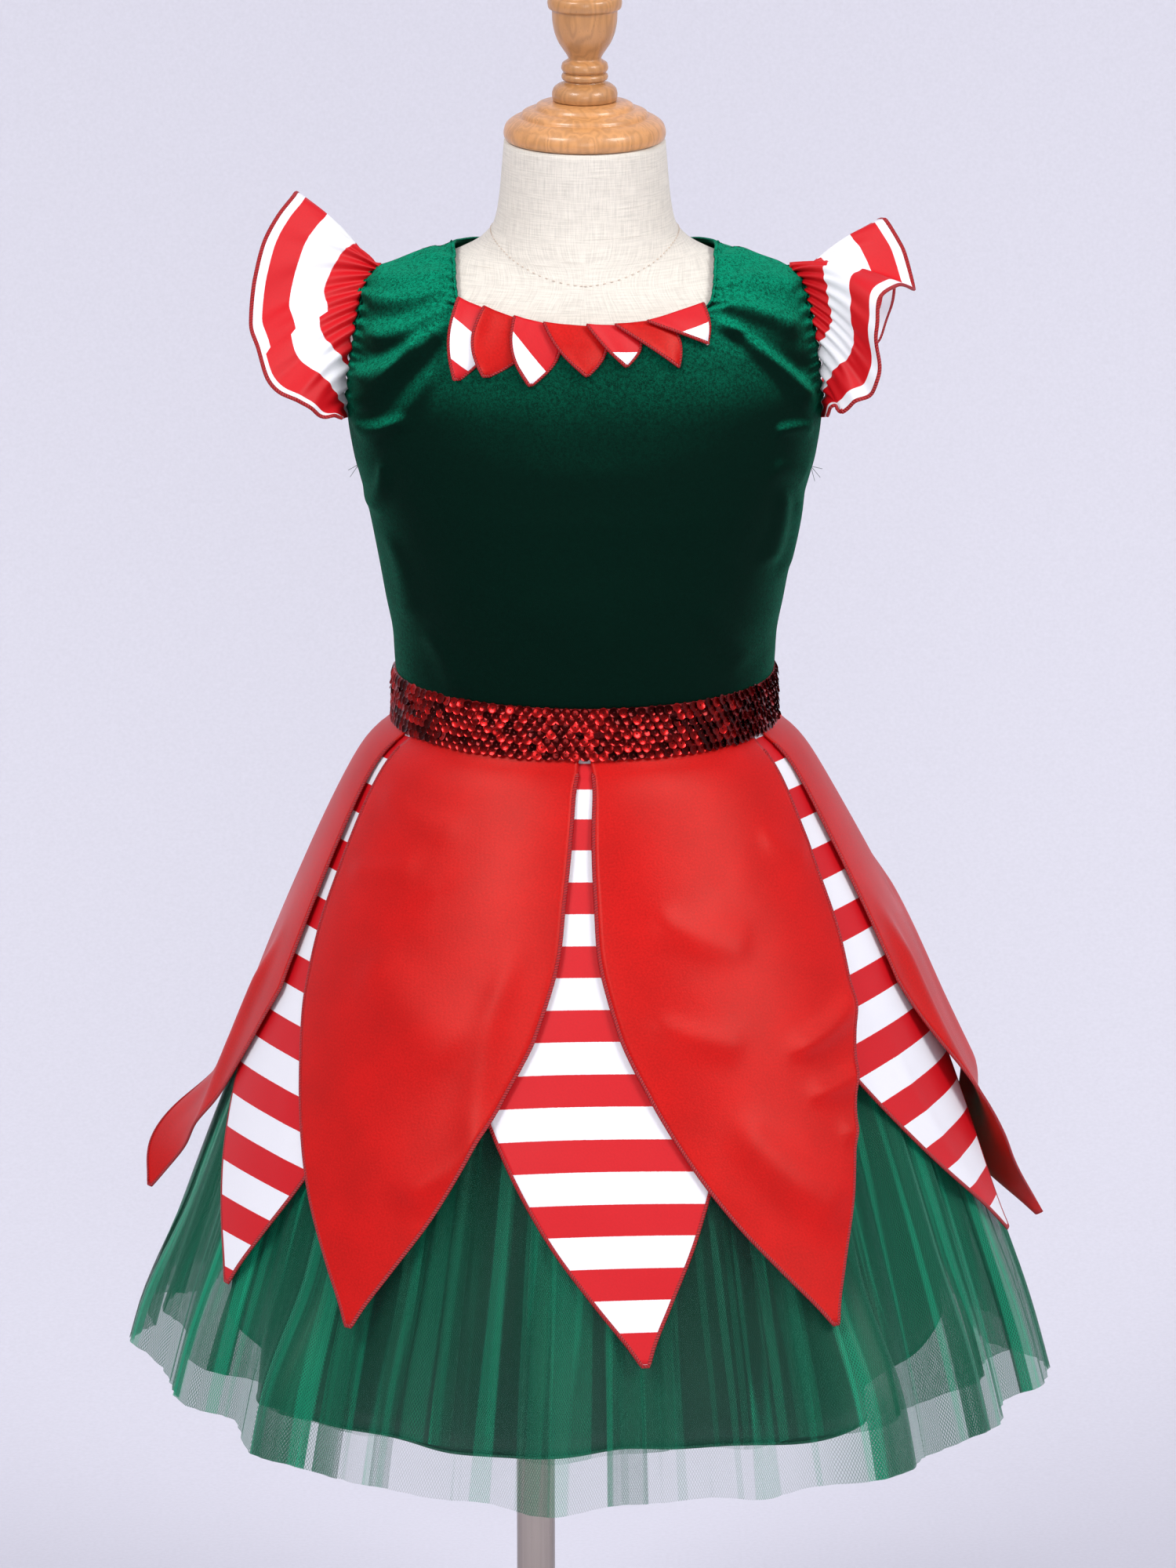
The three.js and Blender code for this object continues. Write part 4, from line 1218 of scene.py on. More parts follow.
def front_lift(x, z):
    """The creases, neck gathers and pull lines of the bodice front."""
    folds = crease(x, z, BODICE_CREASES) * FRONT_CREASE_DEPTH
    from_neck = np.abs(x) - 68
    elastic = np.exp(-((np.maximum(from_neck, 0) / 7.5) ** 2)) * smooth(z, 906, 912)
    ribs = 0.8 * np.sin(2 * np.pi * z / 3.1 + 0.5 * np.sin(x)) + 0.3 * np.sin(2 * np.pi * z / 4.7)
    casing = 0.5 * np.exp(-(((from_neck - 9) / 1.6) ** 2)) * smooth(z, 904, 911)
    arm = np.exp(-((np.maximum(bodice_edge(z) - np.abs(angle_out(x, z)), 0) / 3.2) ** 2))
    arm = arm * smooth(z, 848, 862) * smooth(z, 922, 912)
    pulls = 0.7 * arm * np.sin(2 * np.pi * z / 5.3 + 1.2 * np.sin(z / 7))
    return folds + elastic * ribs - casing + pulls + 0.15


def back_lift(x, z):
    """The creases of the bodice back."""
    return crease(x, z, BACK_CREASES) * BACK_CREASE_DEPTH


class ELFDRESS_OT_bodice(bpy.types.Operator):
    """Cuts and sews the velvet bodice, its rolled neckline and the thread ends at the armpits"""

    bl_idname = "elf_dress.bodice"
    bl_label = "Velvet bodice"

    def execute(self, context):
        velvet = velvet_finish(context.scene.elf_dress_looks)
        for name, behind, lift, columns, rows in (
            ("front", False, front_lift, 168, 150),
            ("back", True, back_lift, 110, 96),
        ):
            place = bodice_place(behind, lift)

            def cut(u, v):
                return (2 * u - 1) * 150, v * 245

            mesh = grid_mesh(f"velvet_bodice_{name}", columns, rows, place, cut)
            made = piece(mesh.name, mesh, "velvet", velvet, replaces=[f"bodice_{name}"])
            thicken(made, VELVET)
            self.roll_edges(name, place, velvet)
        self.thread_ends(velvet)
        return {"FINISHED"}

    def roll_edges(self, name, place, velvet):
        """A soft turned edge along the neckline and down each armhole."""
        along = np.linspace(0, 1, 150)
        neck = place(along, np.ones_like(along))
        self.roll(f"velvet_neck_edge_{name}", neck, velvet, 1.15)
        up = np.linspace(0.30, 1, 120)
        for side, u in (("left", 0.0), ("right", 1.0)):
            edge = place(np.full_like(up, u), up)
            edge = edge[(edge[:, 2] > ARMPIT_Z) & (edge[:, 2] < SHOULDER_TIP_Z)]
            self.roll(f"velvet_arm_edge_{name}_{side}", edge, velvet, 1.0)

    def roll(self, name, path, velvet, radius):
        """One rolled edge, sunk a little into the cloth."""
        out = normalised(path * (1, 1, 0) + (0, 0, 12))
        path = path - out * 0.75
        mesh = strand_mesh(name, path, out, radius, radius * 0.9, sides=6)
        piece(name, mesh, "velvet", velvet)

    def thread_ends(self, velvet):
        """A few loose thread ends at the armpits."""
        dark = sewing_thread_finish("Dark green thread", (0.01, 0.035, 0.03), 0.6)
        for name, start, ends in (
            ("left", (-119.5, -4, 817), ((-5.5, -3, -2.5), (-4.5, -4, -6))),
            ("right", (119.5, -4, 816), ((6, -4, -0.5), (5, -3, -5.5), (2, -5, -7))),
        ):
            work = bmesh.new()
            for way in ends:
                verts = bmesh.ops.create_cone(work, segments=5, radius1=0.00016, radius2=0.00012,
                                              depth=0.001, cap_ends=True)["verts"]
                reach = Vector(way)
                turn = Vector((0, 0, 1)).rotation_difference(reach).to_matrix().to_4x4()
                bmesh.ops.scale(work, verts=verts, vec=(1, 1, reach.length))
                bmesh.ops.rotate(work, verts=verts, cent=(0, 0, 0), matrix=turn)
                bmesh.ops.translate(work, verts=verts, vec=(Vector(start) + reach / 2) * 0.001)
            mesh = bpy.data.meshes.new(f"thread_ends_{name}")
            work.to_mesh(mesh)
            work.free()
            piece(mesh.name, mesh, "velvet", dark)


# Sleeves


def armhole(share):
    """Points of the armhole from its front end over the shoulder tip to its back end."""
    rise = 1 - np.abs(2 * share - 1)
    z = lerp(848, SHOULDER_TIP_Z, np.sin(rise * np.pi / 2))
    angle = bodice_edge(z)
    return on_form(np.where(share < 0.5, angle, 180 - angle), z, off_form(z) + VELVET + 1.2)


def flutter_place(side, rim, gathers):
    """The map from along the sleeve and in from its rim, 0 to 1, to its place."""

    def skin(u, v):
        share = u if side > 0 else 1 - u
        root = armhole(share)
        edge = np.stack([read(rim, column, share) for column in ("out", "y", "z")], -1)
        down = 1 - v
        point = root + (edge - root) * down[:, None]
        point[:, 2] += 5 * np.sin(np.pi * down) * np.sin(np.pi * share)
        point[:, 0] *= side
        return point

    def place(u, v):
        step = 0.004
        along = skin(np.minimum(u + step, 1), v) - skin(np.maximum(u - step, 0), v)
        up = skin(u, np.minimum(v + 0.02, 1)) - skin(u, np.maximum(v - 0.02, 0))
        normal = normalised(np.cross(along, up))
        share = u if side > 0 else 1 - u
        ends = smooth(share, 0, 0.05) * smooth(share, 1, 0.95)
        close = v**1.6
        small = np.sin(2 * np.pi * share * gathers + 1.6 * np.sin(share * 21)) * 1.5 * close
        large = (np.sin(2 * np.pi * share * 7 + 1) + 0.6 * np.sin(2 * np.pi * share * 12)) * 1.1
        lift = (small + large * (1 - close) * smooth(v, 1, 0.2)) * ends + SATIN
        return skin(u, v) + normal * lift[:, None]

    return place


class ELFDRESS_OT_sleeves(bpy.types.Operator):
    """Gathers the striped flutter sleeves into the armholes and overlocks their rims"""

    bl_idname = "elf_dress.sleeves"
    bl_label = "Flutter sleeves"

    def execute(self, context):
        looks = context.scene.elf_dress_looks
        striped = striped_satin_finish(looks)
        thread = thread_finish("Red sleeve overlock", looks.overlock_thread)
        self.sleeve("left", -1, LEFT_FLUTTER, 25, 0.30, striped, thread, looks)
        self.sleeve("right", 1, RIGHT_FLUTTER, 27, 0.0, striped, thread, looks)
        return {"FINISHED"}

    def sleeve(self, name, side, rim, gathers, seam, striped, thread, looks):
        """One sleeve; its stripes step where its own seam is, at a share of its length."""
        place = flutter_place(side, rim, gathers)

        def cut(u, v):
            share = u if side > 0 else 1 - u
            root, edge = place(u, np.ones_like(v)), place(u, np.zeros_like(v))
            depth = np.linalg.norm(edge - root, axis=-1)
            shift = SLEEVE_STRIPE_SHIFT + np.where(share < seam, SLEEVE_STRIPE_STEP, 0.0)
            inward = v * depth * 1.04
            return u * 320, inward - 0.42 * np.maximum(inward - WIDE_STRIPES_FROM, 0) + shift

        mesh = grid_mesh(f"striped_sleeve_{name}", 190, 34, place, cut)
        made = piece(mesh.name, mesh, "striped_satin", striped, replaces=[f"sleeve_{name}"])
        thicken(made, SATIN)
        along = np.linspace(0, 1, 420)
        path = place(along, np.zeros_like(along))
        inner = place(along, np.full_like(along, 0.03))
        tangent = normalised(np.gradient(path, axis=0))
        out = normalised(np.cross(tangent, inner - path))
        width = looks.overlock * 500
        edge = strand_mesh(f"sleeve_overlock_{name}", path - out * 0.6, out, width, width * 0.7)
        edging = piece(edge.name, edge, "red_satin", thread)


# Neck leaves


def leaf_place(row, order):
    """The map from a neck leaf's across and up, 0 to 1, to its place."""

    def edge(start, bow, t):
        x = lerp(start[0], row["point"][0], t) + bow * np.sin(np.pi * t)
        return x, lerp(start[1], row["point"][1], t)

    def place(u, v):
        t = 0.985 * (1 - v)
        left = edge(row["left"], -row["bow"][0], t)
        right = edge(row["right"], row["bow"][1], t)
        x, z = lerp(left[0], right[0], u), lerp(left[1], right[1], u)
        curl = 1.3 * np.exp(-(((u - 0.02) / 0.16) ** 2)) * (1 - 0.5 * t)
        belly = 1.1 * np.sin(np.pi * u) * np.sin(np.pi * np.clip(t, 0, 1) * 0.9 + 0.2)
        rise = 2.4 * (1 - u) + curl + belly + 0.9 * np.sin(t * 5 + order) * u * t
        return on_form(angle_out(x, z), z, off_form(z) + VELVET + 1.5 + rise)

    return place


class ELFDRESS_OT_leaves(bpy.types.Operator):
    """Sets the row of curled leaves along the front neckline"""

    bl_idname = "elf_dress.leaves"
    bl_label = "Neck leaves"

    def execute(self, context):
        looks = context.scene.elf_dress_looks
        red = red_satin_finish(looks, "Red satin of the leaves")
        striped = striped_satin_finish(looks)
        thread = thread_finish("Red leaf overlock", looks.overlock_thread)
        for order, (name, row) in enumerate(NECK_LEAVES.items()):
            place = leaf_place(row, order)

            def cut(u, v):
                points = place(u, v)
                if not row["stripe"]:
                    return points[:, 0], points[:, 2]
                x, z, over, up = row["stripe"]
                return points[:, 0], -((points[:, 0] - x) * over + (points[:, 2] - z) * up)

            mesh = grid_mesh(f"satin_leaf_{name}", 16, 26, place, cut)
            finish, slot = (striped, "striped_satin") if row["stripe"] else (red, "red_satin")
            made = piece(mesh.name, mesh, slot, finish, replaces=[f"neck_leaf_{name}"])
            thicken(made, LEAF_SATIN)
            steps = 46
            down = np.linspace(1, 0, steps)
            left, right = place(np.zeros(steps), down), place(np.ones(steps), down[::-1])
            path = np.concatenate((left, right[1:]))
            out = normalised(path * (1, 1, 0) + (0, 0, 30))
            path, width = path - out * 0.4, looks.overlock * 370
            edge = strand_mesh(f"leaf_overlock_{name}", path, out, width, width * 0.75, sides=6)
            edging = piece(edge.name, edge, "red_satin", thread)
        return {"FINISHED"}


# Belt


SEQUIN_ROWS = 7
SEQUINS_ROUND = 128
SEQUIN_SIDES = 11
SEQUIN_CUP = ((0.18, 0.0), (0.6, 0.02), (0.85, 0.06), (1.0, 0.12))  # out and up, from hole to rim
SEQUIN_ALONG = 0.15  # how far a sequin leans along the belt
SEQUIN_UP = 0.34  # and upwards
LOOSE_SEQUINS = 0.06  # the share that lies out of line


class ELFDRESS_OT_belt(bpy.types.Operator):
    """Lays the belt's ribbon round the waist and sews its rows of sequins on"""

    bl_idname = "elf_dress.belt"
    bl_label = "Sequin belt"

    def execute(self, context):
        looks = context.scene.elf_dress_looks

        def face(angle, z, off):
            sides = [read(BELT, column, z) + off for column in ("side", "front", "back")]
            x, y = oval(*sides, angle)
            return np.stack((x, y, z + 0 * x), -1)

        def place(u, v):
            return face(360 * u - 180, lerp(678.6, 705.7, v), -0.3 + 0.2 * np.sin(v * np.pi))

        def cut(u, v):
            return u * 590, v * 27

        ribbon = thread_finish("Belt ribbon", (0.26, 0.004, 0.006))
        mesh = grid_mesh("belt_ribbon", 192, 8, place, cut, closed=True)
        made = piece(mesh.name, mesh, "sequin", ribbon, replaces=["belt"])
        thicken(made, RIBBON)
        sequins = self.sequins(looks, face)
        return {"FINISHED"}

    def one_sequin(self, width):
        """A shallow cup with a hole, spun from its half outline."""
        single = bmesh.new()
        radius = width * 500
        verts = [single.verts.new((r * radius * 0.001, 0, z * radius * 0.001)) for r, z in SEQUIN_CUP]
        edges = [single.edges.new(pair) for pair in zip(verts, verts[1:])]
        bmesh.ops.spin(single, geom=verts + edges, cent=(0, 0, 0), axis=(0, 0, 1), dvec=(0, 0, 0),
                       angle=2 * np.pi, steps=SEQUIN_SIDES, use_merge=True, use_duplicate=False)
        cup = bpy.data.meshes.new("one_sequin")
        single.to_mesh(cup)
        single.free()
        return cup

    def sequins(self, looks, face):
        """Rows of sequins, each lying on the ones beside it."""
        chance = np.random.default_rng(7)
        cup = self.one_sequin(looks.sequin_width)
        work = bmesh.new()
        shade = work.verts.layers.float.new("Shade")
        for row in range(SEQUIN_ROWS):
            z = lerp(681.0, 703.8, row / (SEQUIN_ROWS - 1))
            for k in range(SEQUINS_ROUND):
                angle = 360 * (k + 0.5 * (row % 2)) / SEQUINS_ROUND + chance.normal(0, 0.12) - 180
                z_here = np.array([z + chance.normal(0, 0.25)])
                at = np.array([angle])
                centre = face(at, z_here, 0.5)[0]
                normal = Vector(normalised(face(at, z_here, 3)[0] - face(at, z_here, 2)[0]))
                along = Vector(normalised(face(at + 1, z_here, 2)[0] - face(at - 1, z_here, 2)[0]))
                tilt = normal + along * (SEQUIN_ALONG + chance.normal(0, 0.05))
                tilt += Vector((0, 0, SEQUIN_UP + chance.normal(0, 0.05)))
                if chance.random() < LOOSE_SEQUINS:
                    tilt += along * chance.normal(0, 0.4) + Vector((0, 0, chance.normal(0, 0.35)))
                before = len(work.verts)
                work.from_mesh(cup)
                work.verts.ensure_lookup_table()
                new = work.verts[before:]
                turn = Vector((0, 0, 1)).rotation_difference(tilt.normalized()).to_matrix().to_4x4()
                bmesh.ops.rotate(work, verts=new, cent=(0, 0, 0), matrix=turn)
                bmesh.ops.translate(work, verts=new, vec=Vector(centre) * 0.001)
                tone = float(np.clip(chance.normal(0.55, 0.28), 0, 1))
                for vert in new:
                    vert[shade] = tone
        mesh = bpy.data.meshes.new("belt_sequins")
        work.to_mesh(mesh)
        work.free()
        mesh.polygons.foreach_set("use_smooth", np.ones(len(mesh.polygons), bool))
        return piece(mesh.name, mesh, "sequin", sequin_finish(looks))


# Petals


# The skirt's cloth is cut as from a cone: how far its turn is taken up in the cut, and the slant from
# the cone's tip to the waist.
CONE_SLOPE = 0.42
CONE_START = 238


def skirt_length(z):
    """How far down the skirt's slope a height lies from the waist."""
    steps = np.linspace(SEAM_Z, SKIRT["z"][0], 400)
    side = read(SKIRT, "side", steps)
    run = np.concatenate(([0], np.cumsum(np.hypot(np.diff(steps), np.diff(side)))))
    return np.interp(-z, -steps, run)


def petal_place(name, row):
    """The maps from a petal's across and up, 0 to 1, to its place and to its flat cut."""
    striped = "striped" in name

    def shape(u, v):
        """Height, share of the length, side to side, half the angle and the middle's angle."""
        z = lerp(row["tip"], PETAL_TOP_Z, v)
        share = (PETAL_TOP_Z - z) / (PETAL_TOP_Z - row["tip"])
        across = 2 * u - 1
        radius = read(SKIRT, "side", z) * (1 + read(SKIRT, "front", z)) / 2
        half = np.minimum(row["room"], row["wide"] * np.degrees(read(PETAL, "half", share) / radius))
        middle = lerp(row["waist"], row["point"], share**2) + row["bow"] * np.sin(np.pi * share)
        return z, share, across, half, middle

    def cut(u, v, stripe_shift=PETAL_STRIPE_SHIFT):
        z, _, across, half, _ = shape(u, v)
        slant = CONE_START + skirt_length(z)
        turn = np.radians(across * half) * CONE_SLOPE
        return slant * np.sin(turn), slant * np.cos(turn) - CONE_START + stripe_shift

    def place(u, v):
        z, share, across, half, middle = shape(u, v)
        flip = row["flip"] * (np.maximum(share - 0.8, 0) / 0.2) ** 2
        flip = flip + row["lift"] * across**2 * smooth(share, 0.35, 0.8)
        depth = PETAL_FOLD_DEPTH * (STRIPED_FOLD_SHARE if striped else 1)
        folds = crease(*cut(u, v, 0), PETAL_FOLDS[name]) * depth
        inset = striped_inset(z) if striped else SATIN
        laid = on_skirt(middle + across * half, z, inset - SATIN - flip - folds)
        twist, start = PETAL_TWISTS.get(name, (0, 1))
        if not twist:
            return laid
        front = -np.sign(row["waist"])
        hinge = on_skirt(middle + front * half, z, inset - SATIN - row["flip"] * 0.4)
        turn = np.radians(twist) * smooth(share, start, 1)
        arm = laid - hinge
        hinge[:, 0] += PETAL_SWINGS.get(name, 0) * smooth(share, start - 0.25, start + 0.15)
        laid[:, 0] = hinge[:, 0] + arm[:, 0] * np.cos(turn) - arm[:, 1] * np.sin(turn)
        laid[:, 1] = hinge[:, 1] + arm[:, 0] * np.sin(turn) + arm[:, 1] * np.cos(turn)
        return laid

    return place, cut


def petal_edge(place, steps):
    """The petal's free edge: down its left side, round the point and up its right side."""
    down = np.linspace(0.955, 0, steps)
    left = place(np.zeros(steps), down)
    right = place(np.ones(steps), down[::-1])
    return np.concatenate((left, right))


def make_petals(looks, kind, finish):
    """The red petals or the striped ones, each with its overlocked edge."""
    thread = thread_finish(f"Overlock of the {kind} petals", looks.overlock_thread)
    for name, row in PETALS.items():
        if not name.startswith(kind):
            continue
        place, cut = petal_place(name, row)
        mesh = grid_mesh(f"satin_petal_{name}", 44, 84, place, cut)
        slot = "striped_satin" if kind == "striped" else "red_satin"
        made = piece(mesh.name, mesh, slot, finish, replaces=[f"petal_{name}"])
        thicken(made, SATIN)
        path = petal_edge(place, 170)
        out = normalised(path * (1, 1, 0) * 0.9 + (0, 0, 60))
        path, width = path - out * 0.55, looks.overlock * 500
        edge = strand_mesh(f"petal_overlock_{name}", path, out, width, width * 0.62)
        edging = piece(edge.name, edge, "red_satin", thread)


class ELFDRESS_OT_red_petals(bpy.types.Operator):
    """Hangs the red satin petals from the waist and overlocks their edges"""

    bl_idname = "elf_dress.red_petals"
    bl_label = "Red petals"

    def execute(self, context):
        looks = context.scene.elf_dress_looks
        make_petals(looks, "red", red_satin_finish(looks))
        return {"FINISHED"}


class ELFDRESS_OT_striped_petals(bpy.types.Operator):
    """Hangs the striped petals between and under the red ones and overlocks their edges"""

    bl_idname = "elf_dress.striped_petals"
    bl_label = "Striped petals"

    def execute(self, context):
        looks = context.scene.elf_dress_looks
        make_petals(looks, "striped", striped_satin_finish(looks))
        return {"FINISHED"}


# Tulle and lining


NET_ROUND = 4.3  # millimetres of net to each degree of its way round
NET_SLOPE = 1.13  # the length of the hanging net over its height


def net_path(pleats, columns):
    """The way round a net skirt: its angle at each column, doubled back at each knife pleat, and the
    layer that the column lies on there, outermost first."""
    angles, layers = [-180.0], [0.0]
    for edge, back in sorted(pleats):
        turn = abs(back)
        first = edge if back > 0 else edge + turn
        start, end = (0.0, 2.0) if back > 0 else (2.0, 0.0)
        angles += [first, first - turn, first + 0.5, first + 4]
        layers += [start, 1.0, end, 0.0]
    angles, layers = np.array(angles + [180.0]), np.array(layers + [0.0])
    travel = np.concatenate(([0], np.cumsum(np.abs(np.diff(angles)) + 0.3)))
    at = np.linspace(0, travel[-1], columns + 1)
    nearest = np.clip(np.searchsorted(at, travel), 0, columns)
    at[nearest] = travel
    at = np.sort(at)
    return np.interp(at, travel, angles), np.interp(at, travel, layers), at


def outer_net_out(angle, z):
    """How far the outer net stands out from the skirt's outer face."""
    out = read(NET_FOLDS, "out", angle)
    swing = smooth(FLARE_Z - z, 0, 75)
    settle = smooth(SEAM_Z - z, 14, SEAM_Z - OUTER_HEM_Z) ** 0.8
    return np.where(out > 0, out * swing, out * settle) - striped_inset(z) - layer_gap(z)


def inner_net_out(angle, z):
    """The same for the inner net, with eleven soft folds of its own."""
    grown = smooth(SEAM_Z - z, 14, SEAM_Z - INNER_HEM_Z)
    depth = 9 * (0.5 - 0.5 * np.cos(np.radians(11 * angle))) * grown
    return outer_net_out(angle, z) - NET - depth - lerp(LAYER_GAP, NET_CLEAR, hang(z))


def make_net(name, node, finish, pleats, hem, out, columns, rows):
    """One net skirt from its pleats, its hem and how far out it hangs."""
    angles, layers, travel = net_path(pleats, columns)

    def place(u, v):
        i = np.rint(u * columns).astype(int)
        angle, layer = angles[i], layers[i]
        rise = read(NET_FOLDS, "rise", angle) * (1.0 if node == "tulle_outer" else 0.6)
        low = hem + rise + waves((angle * 0.21, 1.6), (angle * 0.47 + 1, 1.1))
        z = lerp(low, PETAL_TOP_Z, v**0.9)
        fine = waves((angle * 1.9, 0.7), (angle * 3.1 + 2, 0.5)) * smooth(SEAM_Z - z, 40, 300)
        return on_skirt(angle, z, 0.9 * layer * smooth(SEAM_Z - z, 10, 160) - out(angle, z) + fine)

    def cut(u, v):
        i = np.rint(u * columns).astype(int)
        return travel[i] * NET_ROUND, v * (PETAL_TOP_Z - hem) * NET_SLOPE

    mesh = grid_mesh(name, columns, rows, place, cut, closed=True)
    made = piece(name, mesh, "tulle", finish, replaces=[node])
    return made


class ELFDRESS_OT_tulle(bpy.types.Operator):
    """Gathers the two tulle skirts into the waist, with their folds and knife pleats"""

    bl_idname = "elf_dress.tulle"
    bl_label = "Tulle skirts"

    def execute(self, context):
        finish = net_finish(context.scene.elf_dress_looks)
        make_net("green_tulle_outer", "tulle_outer", finish, OUTER_PLEATS, OUTER_HEM_Z, outer_net_out,
                 620, 46)
        make_net("green_tulle_inner", "tulle_inner", finish, INNER_PLEATS, INNER_HEM_Z, inner_net_out,
                 560, 40)
        return {"FINISHED"}


class ELFDRESS_OT_lining(bpy.types.Operator):
    """Hangs the dark green lining skirt and overlocks its hem"""

    bl_idname = "elf_dress.lining"
    bl_label = "Lining skirt"

    def execute(self, context):
        looks = context.scene.elf_dress_looks
        hem = LINING_HEM_Z
        mean = read(SKIRT, "side", hem) - read(LINING, "inset", hem)

        def place(u, v):
            angle = 360 * u - 180
            z = lerp(hem + waves((angle * 0.11, 0.9), (angle * 0.33, 0.7)), PETAL_TOP_Z, v**0.85)
            around = np.where(angle < -56, angle + 360, angle)
            grown = smooth(SEAM_Z - z, 30, SEAM_Z - hem) ** 1.3
            out = (read(LINING_FOLDS, "radius", around) - mean) * grown
            return on_skirt(angle, z, read(LINING, "inset", z) - out - SATIN)

        def cut(u, v):
            return u * 1150, v * 365

        mesh = grid_mesh("lining_skirt", 300, 56, place, cut, closed=True)
        made = piece(mesh.name, mesh, "lining_satin", lining_finish(looks), replaces=["skirt_lining"])
        thicken(made, SATIN)
        turn = np.linspace(0, 1, 700)
        path = place(turn, np.zeros_like(turn))
        out = normalised(path * (1, 1, 0))
        thread = thread_finish("Green hem overlock", (0.004, 0.085, 0.05))
        edge = strand_mesh("lining_overlock", path - out * 0.6, out, 1.0, 1.1, sides=6)
        edging = piece(edge.name, edge, "lining_satin", thread)
        return {"FINISHED"}


# The stage


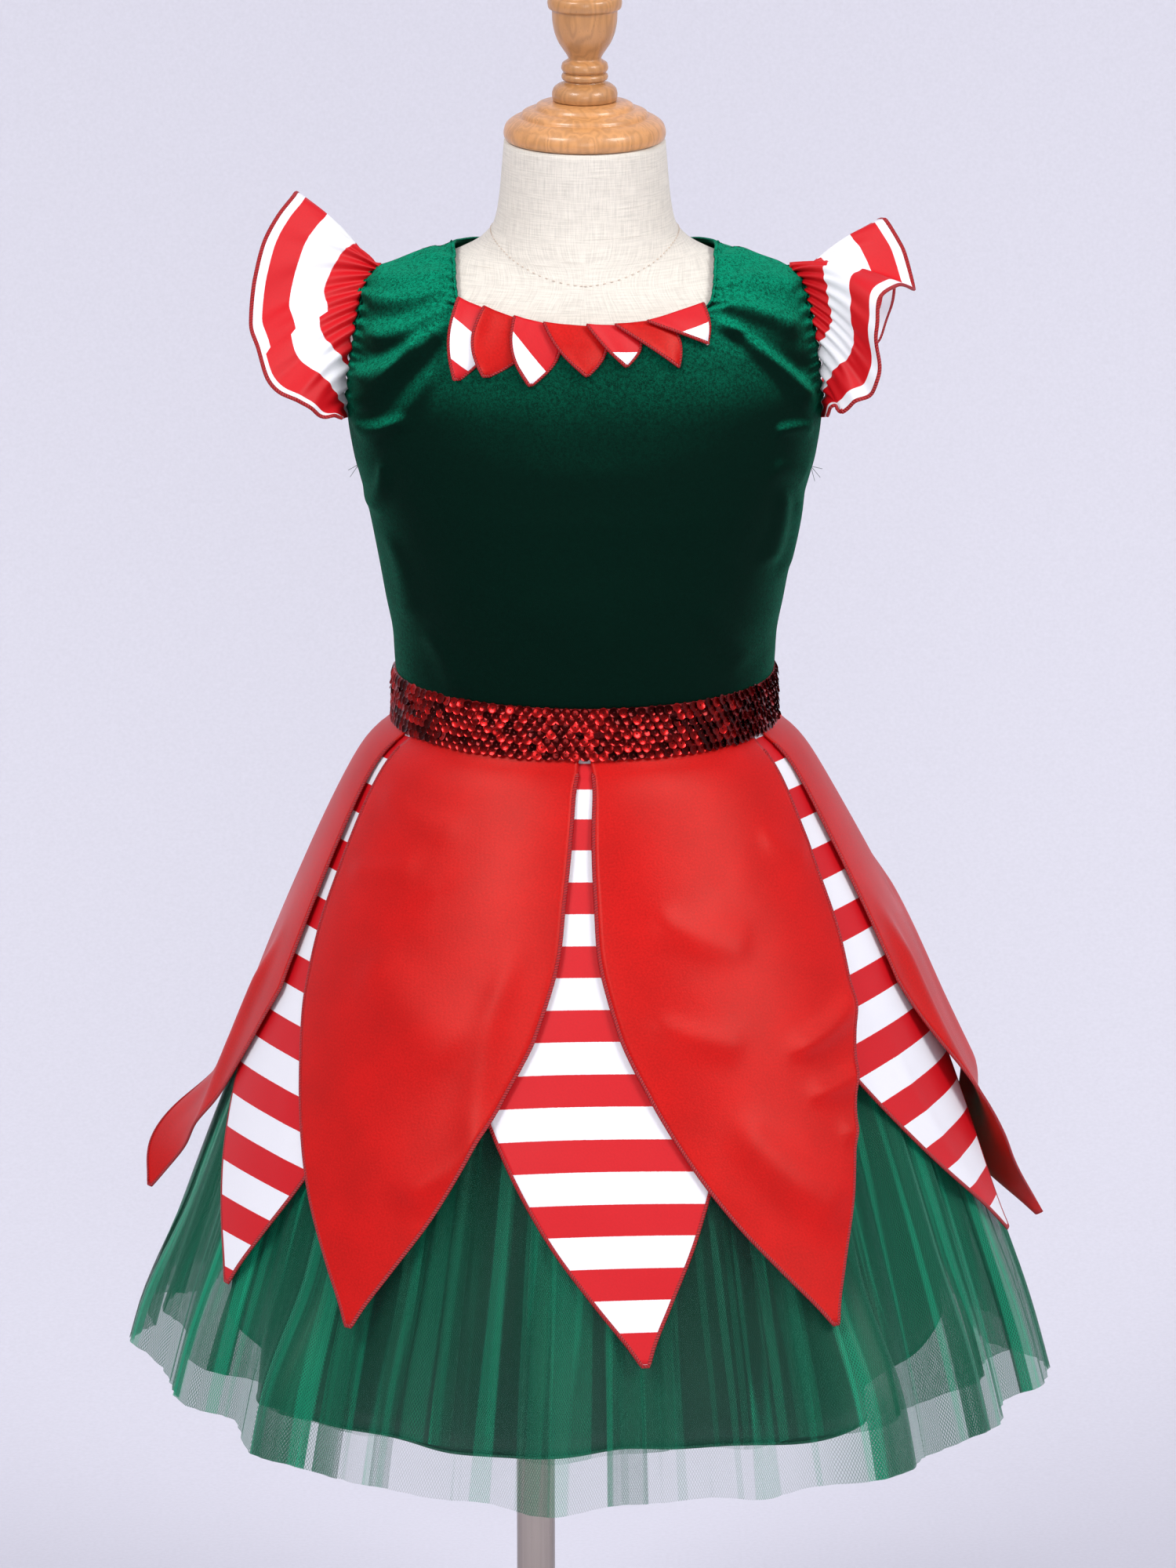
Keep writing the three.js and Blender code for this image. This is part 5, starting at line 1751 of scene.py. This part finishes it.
class ELFDRESS_OT_stage(bpy.types.Operator):
    """Sets the pale floor and backdrop, the soft lights and the camera"""

    bl_idname = "elf_dress.stage"
    bl_label = "Studio"

    def execute(self, context):
        scene = context.scene
        studio = scene.elf_dress_studio
        self.backdrop(studio)
        self.camera(scene, studio)
        self.softbox("Softbox left", (-1.6, -1.7, 2.9), (0, 0, 0.66), 1.1, studio.key_power)
        self.softbox("Softbox right", (1.9, -1.5, 2.6), (0, 0, 0.66), 1.1, studio.key_power * 0.9)
        self.softbox("Front light", (0.2, -3.6, 1.6), (0, 0, 0.55), 1.2, studio.key_power * 0.3)
        self.room(scene, studio)
        scene.view_settings.view_transform = "Standard"
        scene.view_settings.look = "None"
        return {"FINISHED"}

    def room(self, scene, studio):
        """A pale room that is brighter above and behind the dress than behind the camera."""
        scene.world = bpy.data.worlds.new("Studio room")
        f = Finish("Studio room", scene.world)
        way = f.node("ShaderNodeTexCoord").outputs["Generated"]
        up_and_back = {0: way, 1: (0.0, 0.62, 0.78)}
        product = f.node("ShaderNodeVectorMath", {"operation": "DOT_PRODUCT"}, up_and_back)
        lean = Number(f, product.outputs["Value"])
        strength = lean.ramp(-0.8, 0.7, studio.sky * 0.25, studio.sky * 1.7)
        inputs = {"Color": (0.93, 0.93, 1.0, 1), "Strength": strength}
        light = f.node("ShaderNodeBackground", None, inputs)
        f.node("ShaderNodeOutputWorld", None, {0: light.outputs[0]})

    def backdrop(self, studio):
        """A floor that curves up into a wall behind."""
        work = bmesh.new()
        bend_y, bend = 0.6, 1.1
        turns = np.linspace(0.08, np.pi / 2, 18)
        points = [(-6, 0), (bend_y, 0)]
        points += [(bend_y + bend * np.sin(turn), bend - bend * np.cos(turn)) for turn in turns]
        points += [(bend_y + bend, 5)]
        verts = [work.verts.new((-5, y, z)) for y, z in points]
        edges = [work.edges.new(pair) for pair in zip(verts, verts[1:])]
        made = bmesh.ops.extrude_edge_only(work, edges=edges)["geom"]
        far_side = [item for item in made if isinstance(item, bmesh.types.BMVert)]
        bmesh.ops.translate(work, verts=far_side, vec=(10, 0, 0))
        bmesh.ops.recalc_face_normals(work, faces=work.faces)
        if sum(face.normal.y for face in work.faces) > 0:
            bmesh.ops.reverse_faces(work, faces=work.faces)
        mesh = bpy.data.meshes.new("floor_and_backdrop")
        work.to_mesh(mesh)
        work.free()
        mesh.polygons.foreach_set("use_smooth", np.ones(len(mesh.polygons), bool))
        made = bpy.data.objects.new("floor_and_backdrop", mesh)
        made.location.z = -0.0005
        bpy.context.scene.collection.objects.link(made)
        mesh.materials.append(backdrop_finish(tuple(studio.backdrop)))

    def camera(self, scene, studio):
        """A long lens from in front and a little above."""
        view = bpy.data.cameras.new("Camera")
        view.lens = studio.lens
        view.sensor_width = 36
        made = bpy.data.objects.new("Camera", view)
        scene.collection.objects.link(made)
        back = Vector((0, -np.cos(studio.elevation), np.sin(studio.elevation)))
        made.location = Vector((studio.aim_right, 0, studio.aim_height)) + back * studio.distance
        made.rotation_euler = (-back).to_track_quat("-Z", "Y").to_euler()
        scene.camera = made

    def softbox(self, name, place, aim, size, power):
        """A square light at a place, turned to what it lights."""
        light = bpy.data.lights.new(name, "AREA")
        light.size = size
        light.energy = power
        made = bpy.data.objects.new(name, light)
        made.location = place
        made.rotation_euler = (Vector(aim) - Vector(place)).to_track_quat("-Z", "Y").to_euler()
        bpy.context.scene.collection.objects.link(made)


class ELFDRESS_PT_panel(bpy.types.Panel):
    """The costume's pieces and looks"""

    bl_idname = "ELFDRESS_PT_panel"
    bl_label = "Elf dress"
    bl_space_type = "VIEW_3D"
    bl_region_type = "UI"
    bl_category = "Elf dress"

    def draw(self, context):
        for operator in OPERATORS:
            self.layout.operator(operator.bl_idname)
        for group in (context.scene.elf_dress_looks, context.scene.elf_dress_studio):
            box = self.layout.box()
            for name in group.bl_rna.properties.keys():
                if name not in ("rna_type", "name"):
                    box.prop(group, name)


OPERATORS = (
    ELFDRESS_OT_stage,
    ELFDRESS_OT_form,
    ELFDRESS_OT_wood,
    ELFDRESS_OT_stand,
    ELFDRESS_OT_bodice,
    ELFDRESS_OT_belt,
    ELFDRESS_OT_sleeves,
    ELFDRESS_OT_leaves,
    ELFDRESS_OT_red_petals,
    ELFDRESS_OT_striped_petals,
    ELFDRESS_OT_lining,
    ELFDRESS_OT_tulle,
)
CLASSES = (DressLooks, StudioSettings, *OPERATORS, ELFDRESS_PT_panel)


def register():
    for made in CLASSES:
        bpy.utils.register_class(made)
    bpy.types.Scene.elf_dress_looks = bpy.props.PointerProperty(type=DressLooks)
    bpy.types.Scene.elf_dress_studio = bpy.props.PointerProperty(type=StudioSettings)


def unregister():
    del bpy.types.Scene.elf_dress_studio
    del bpy.types.Scene.elf_dress_looks
    for made in reversed(CLASSES):
        bpy.utils.unregister_class(made)


def main():
    """Builds every piece and the stage."""
    register()
    for operator in OPERATORS:
        getattr(bpy.ops.elf_dress, operator.bl_idname.split(".")[1])()


if __name__ == "__main__":
    main()
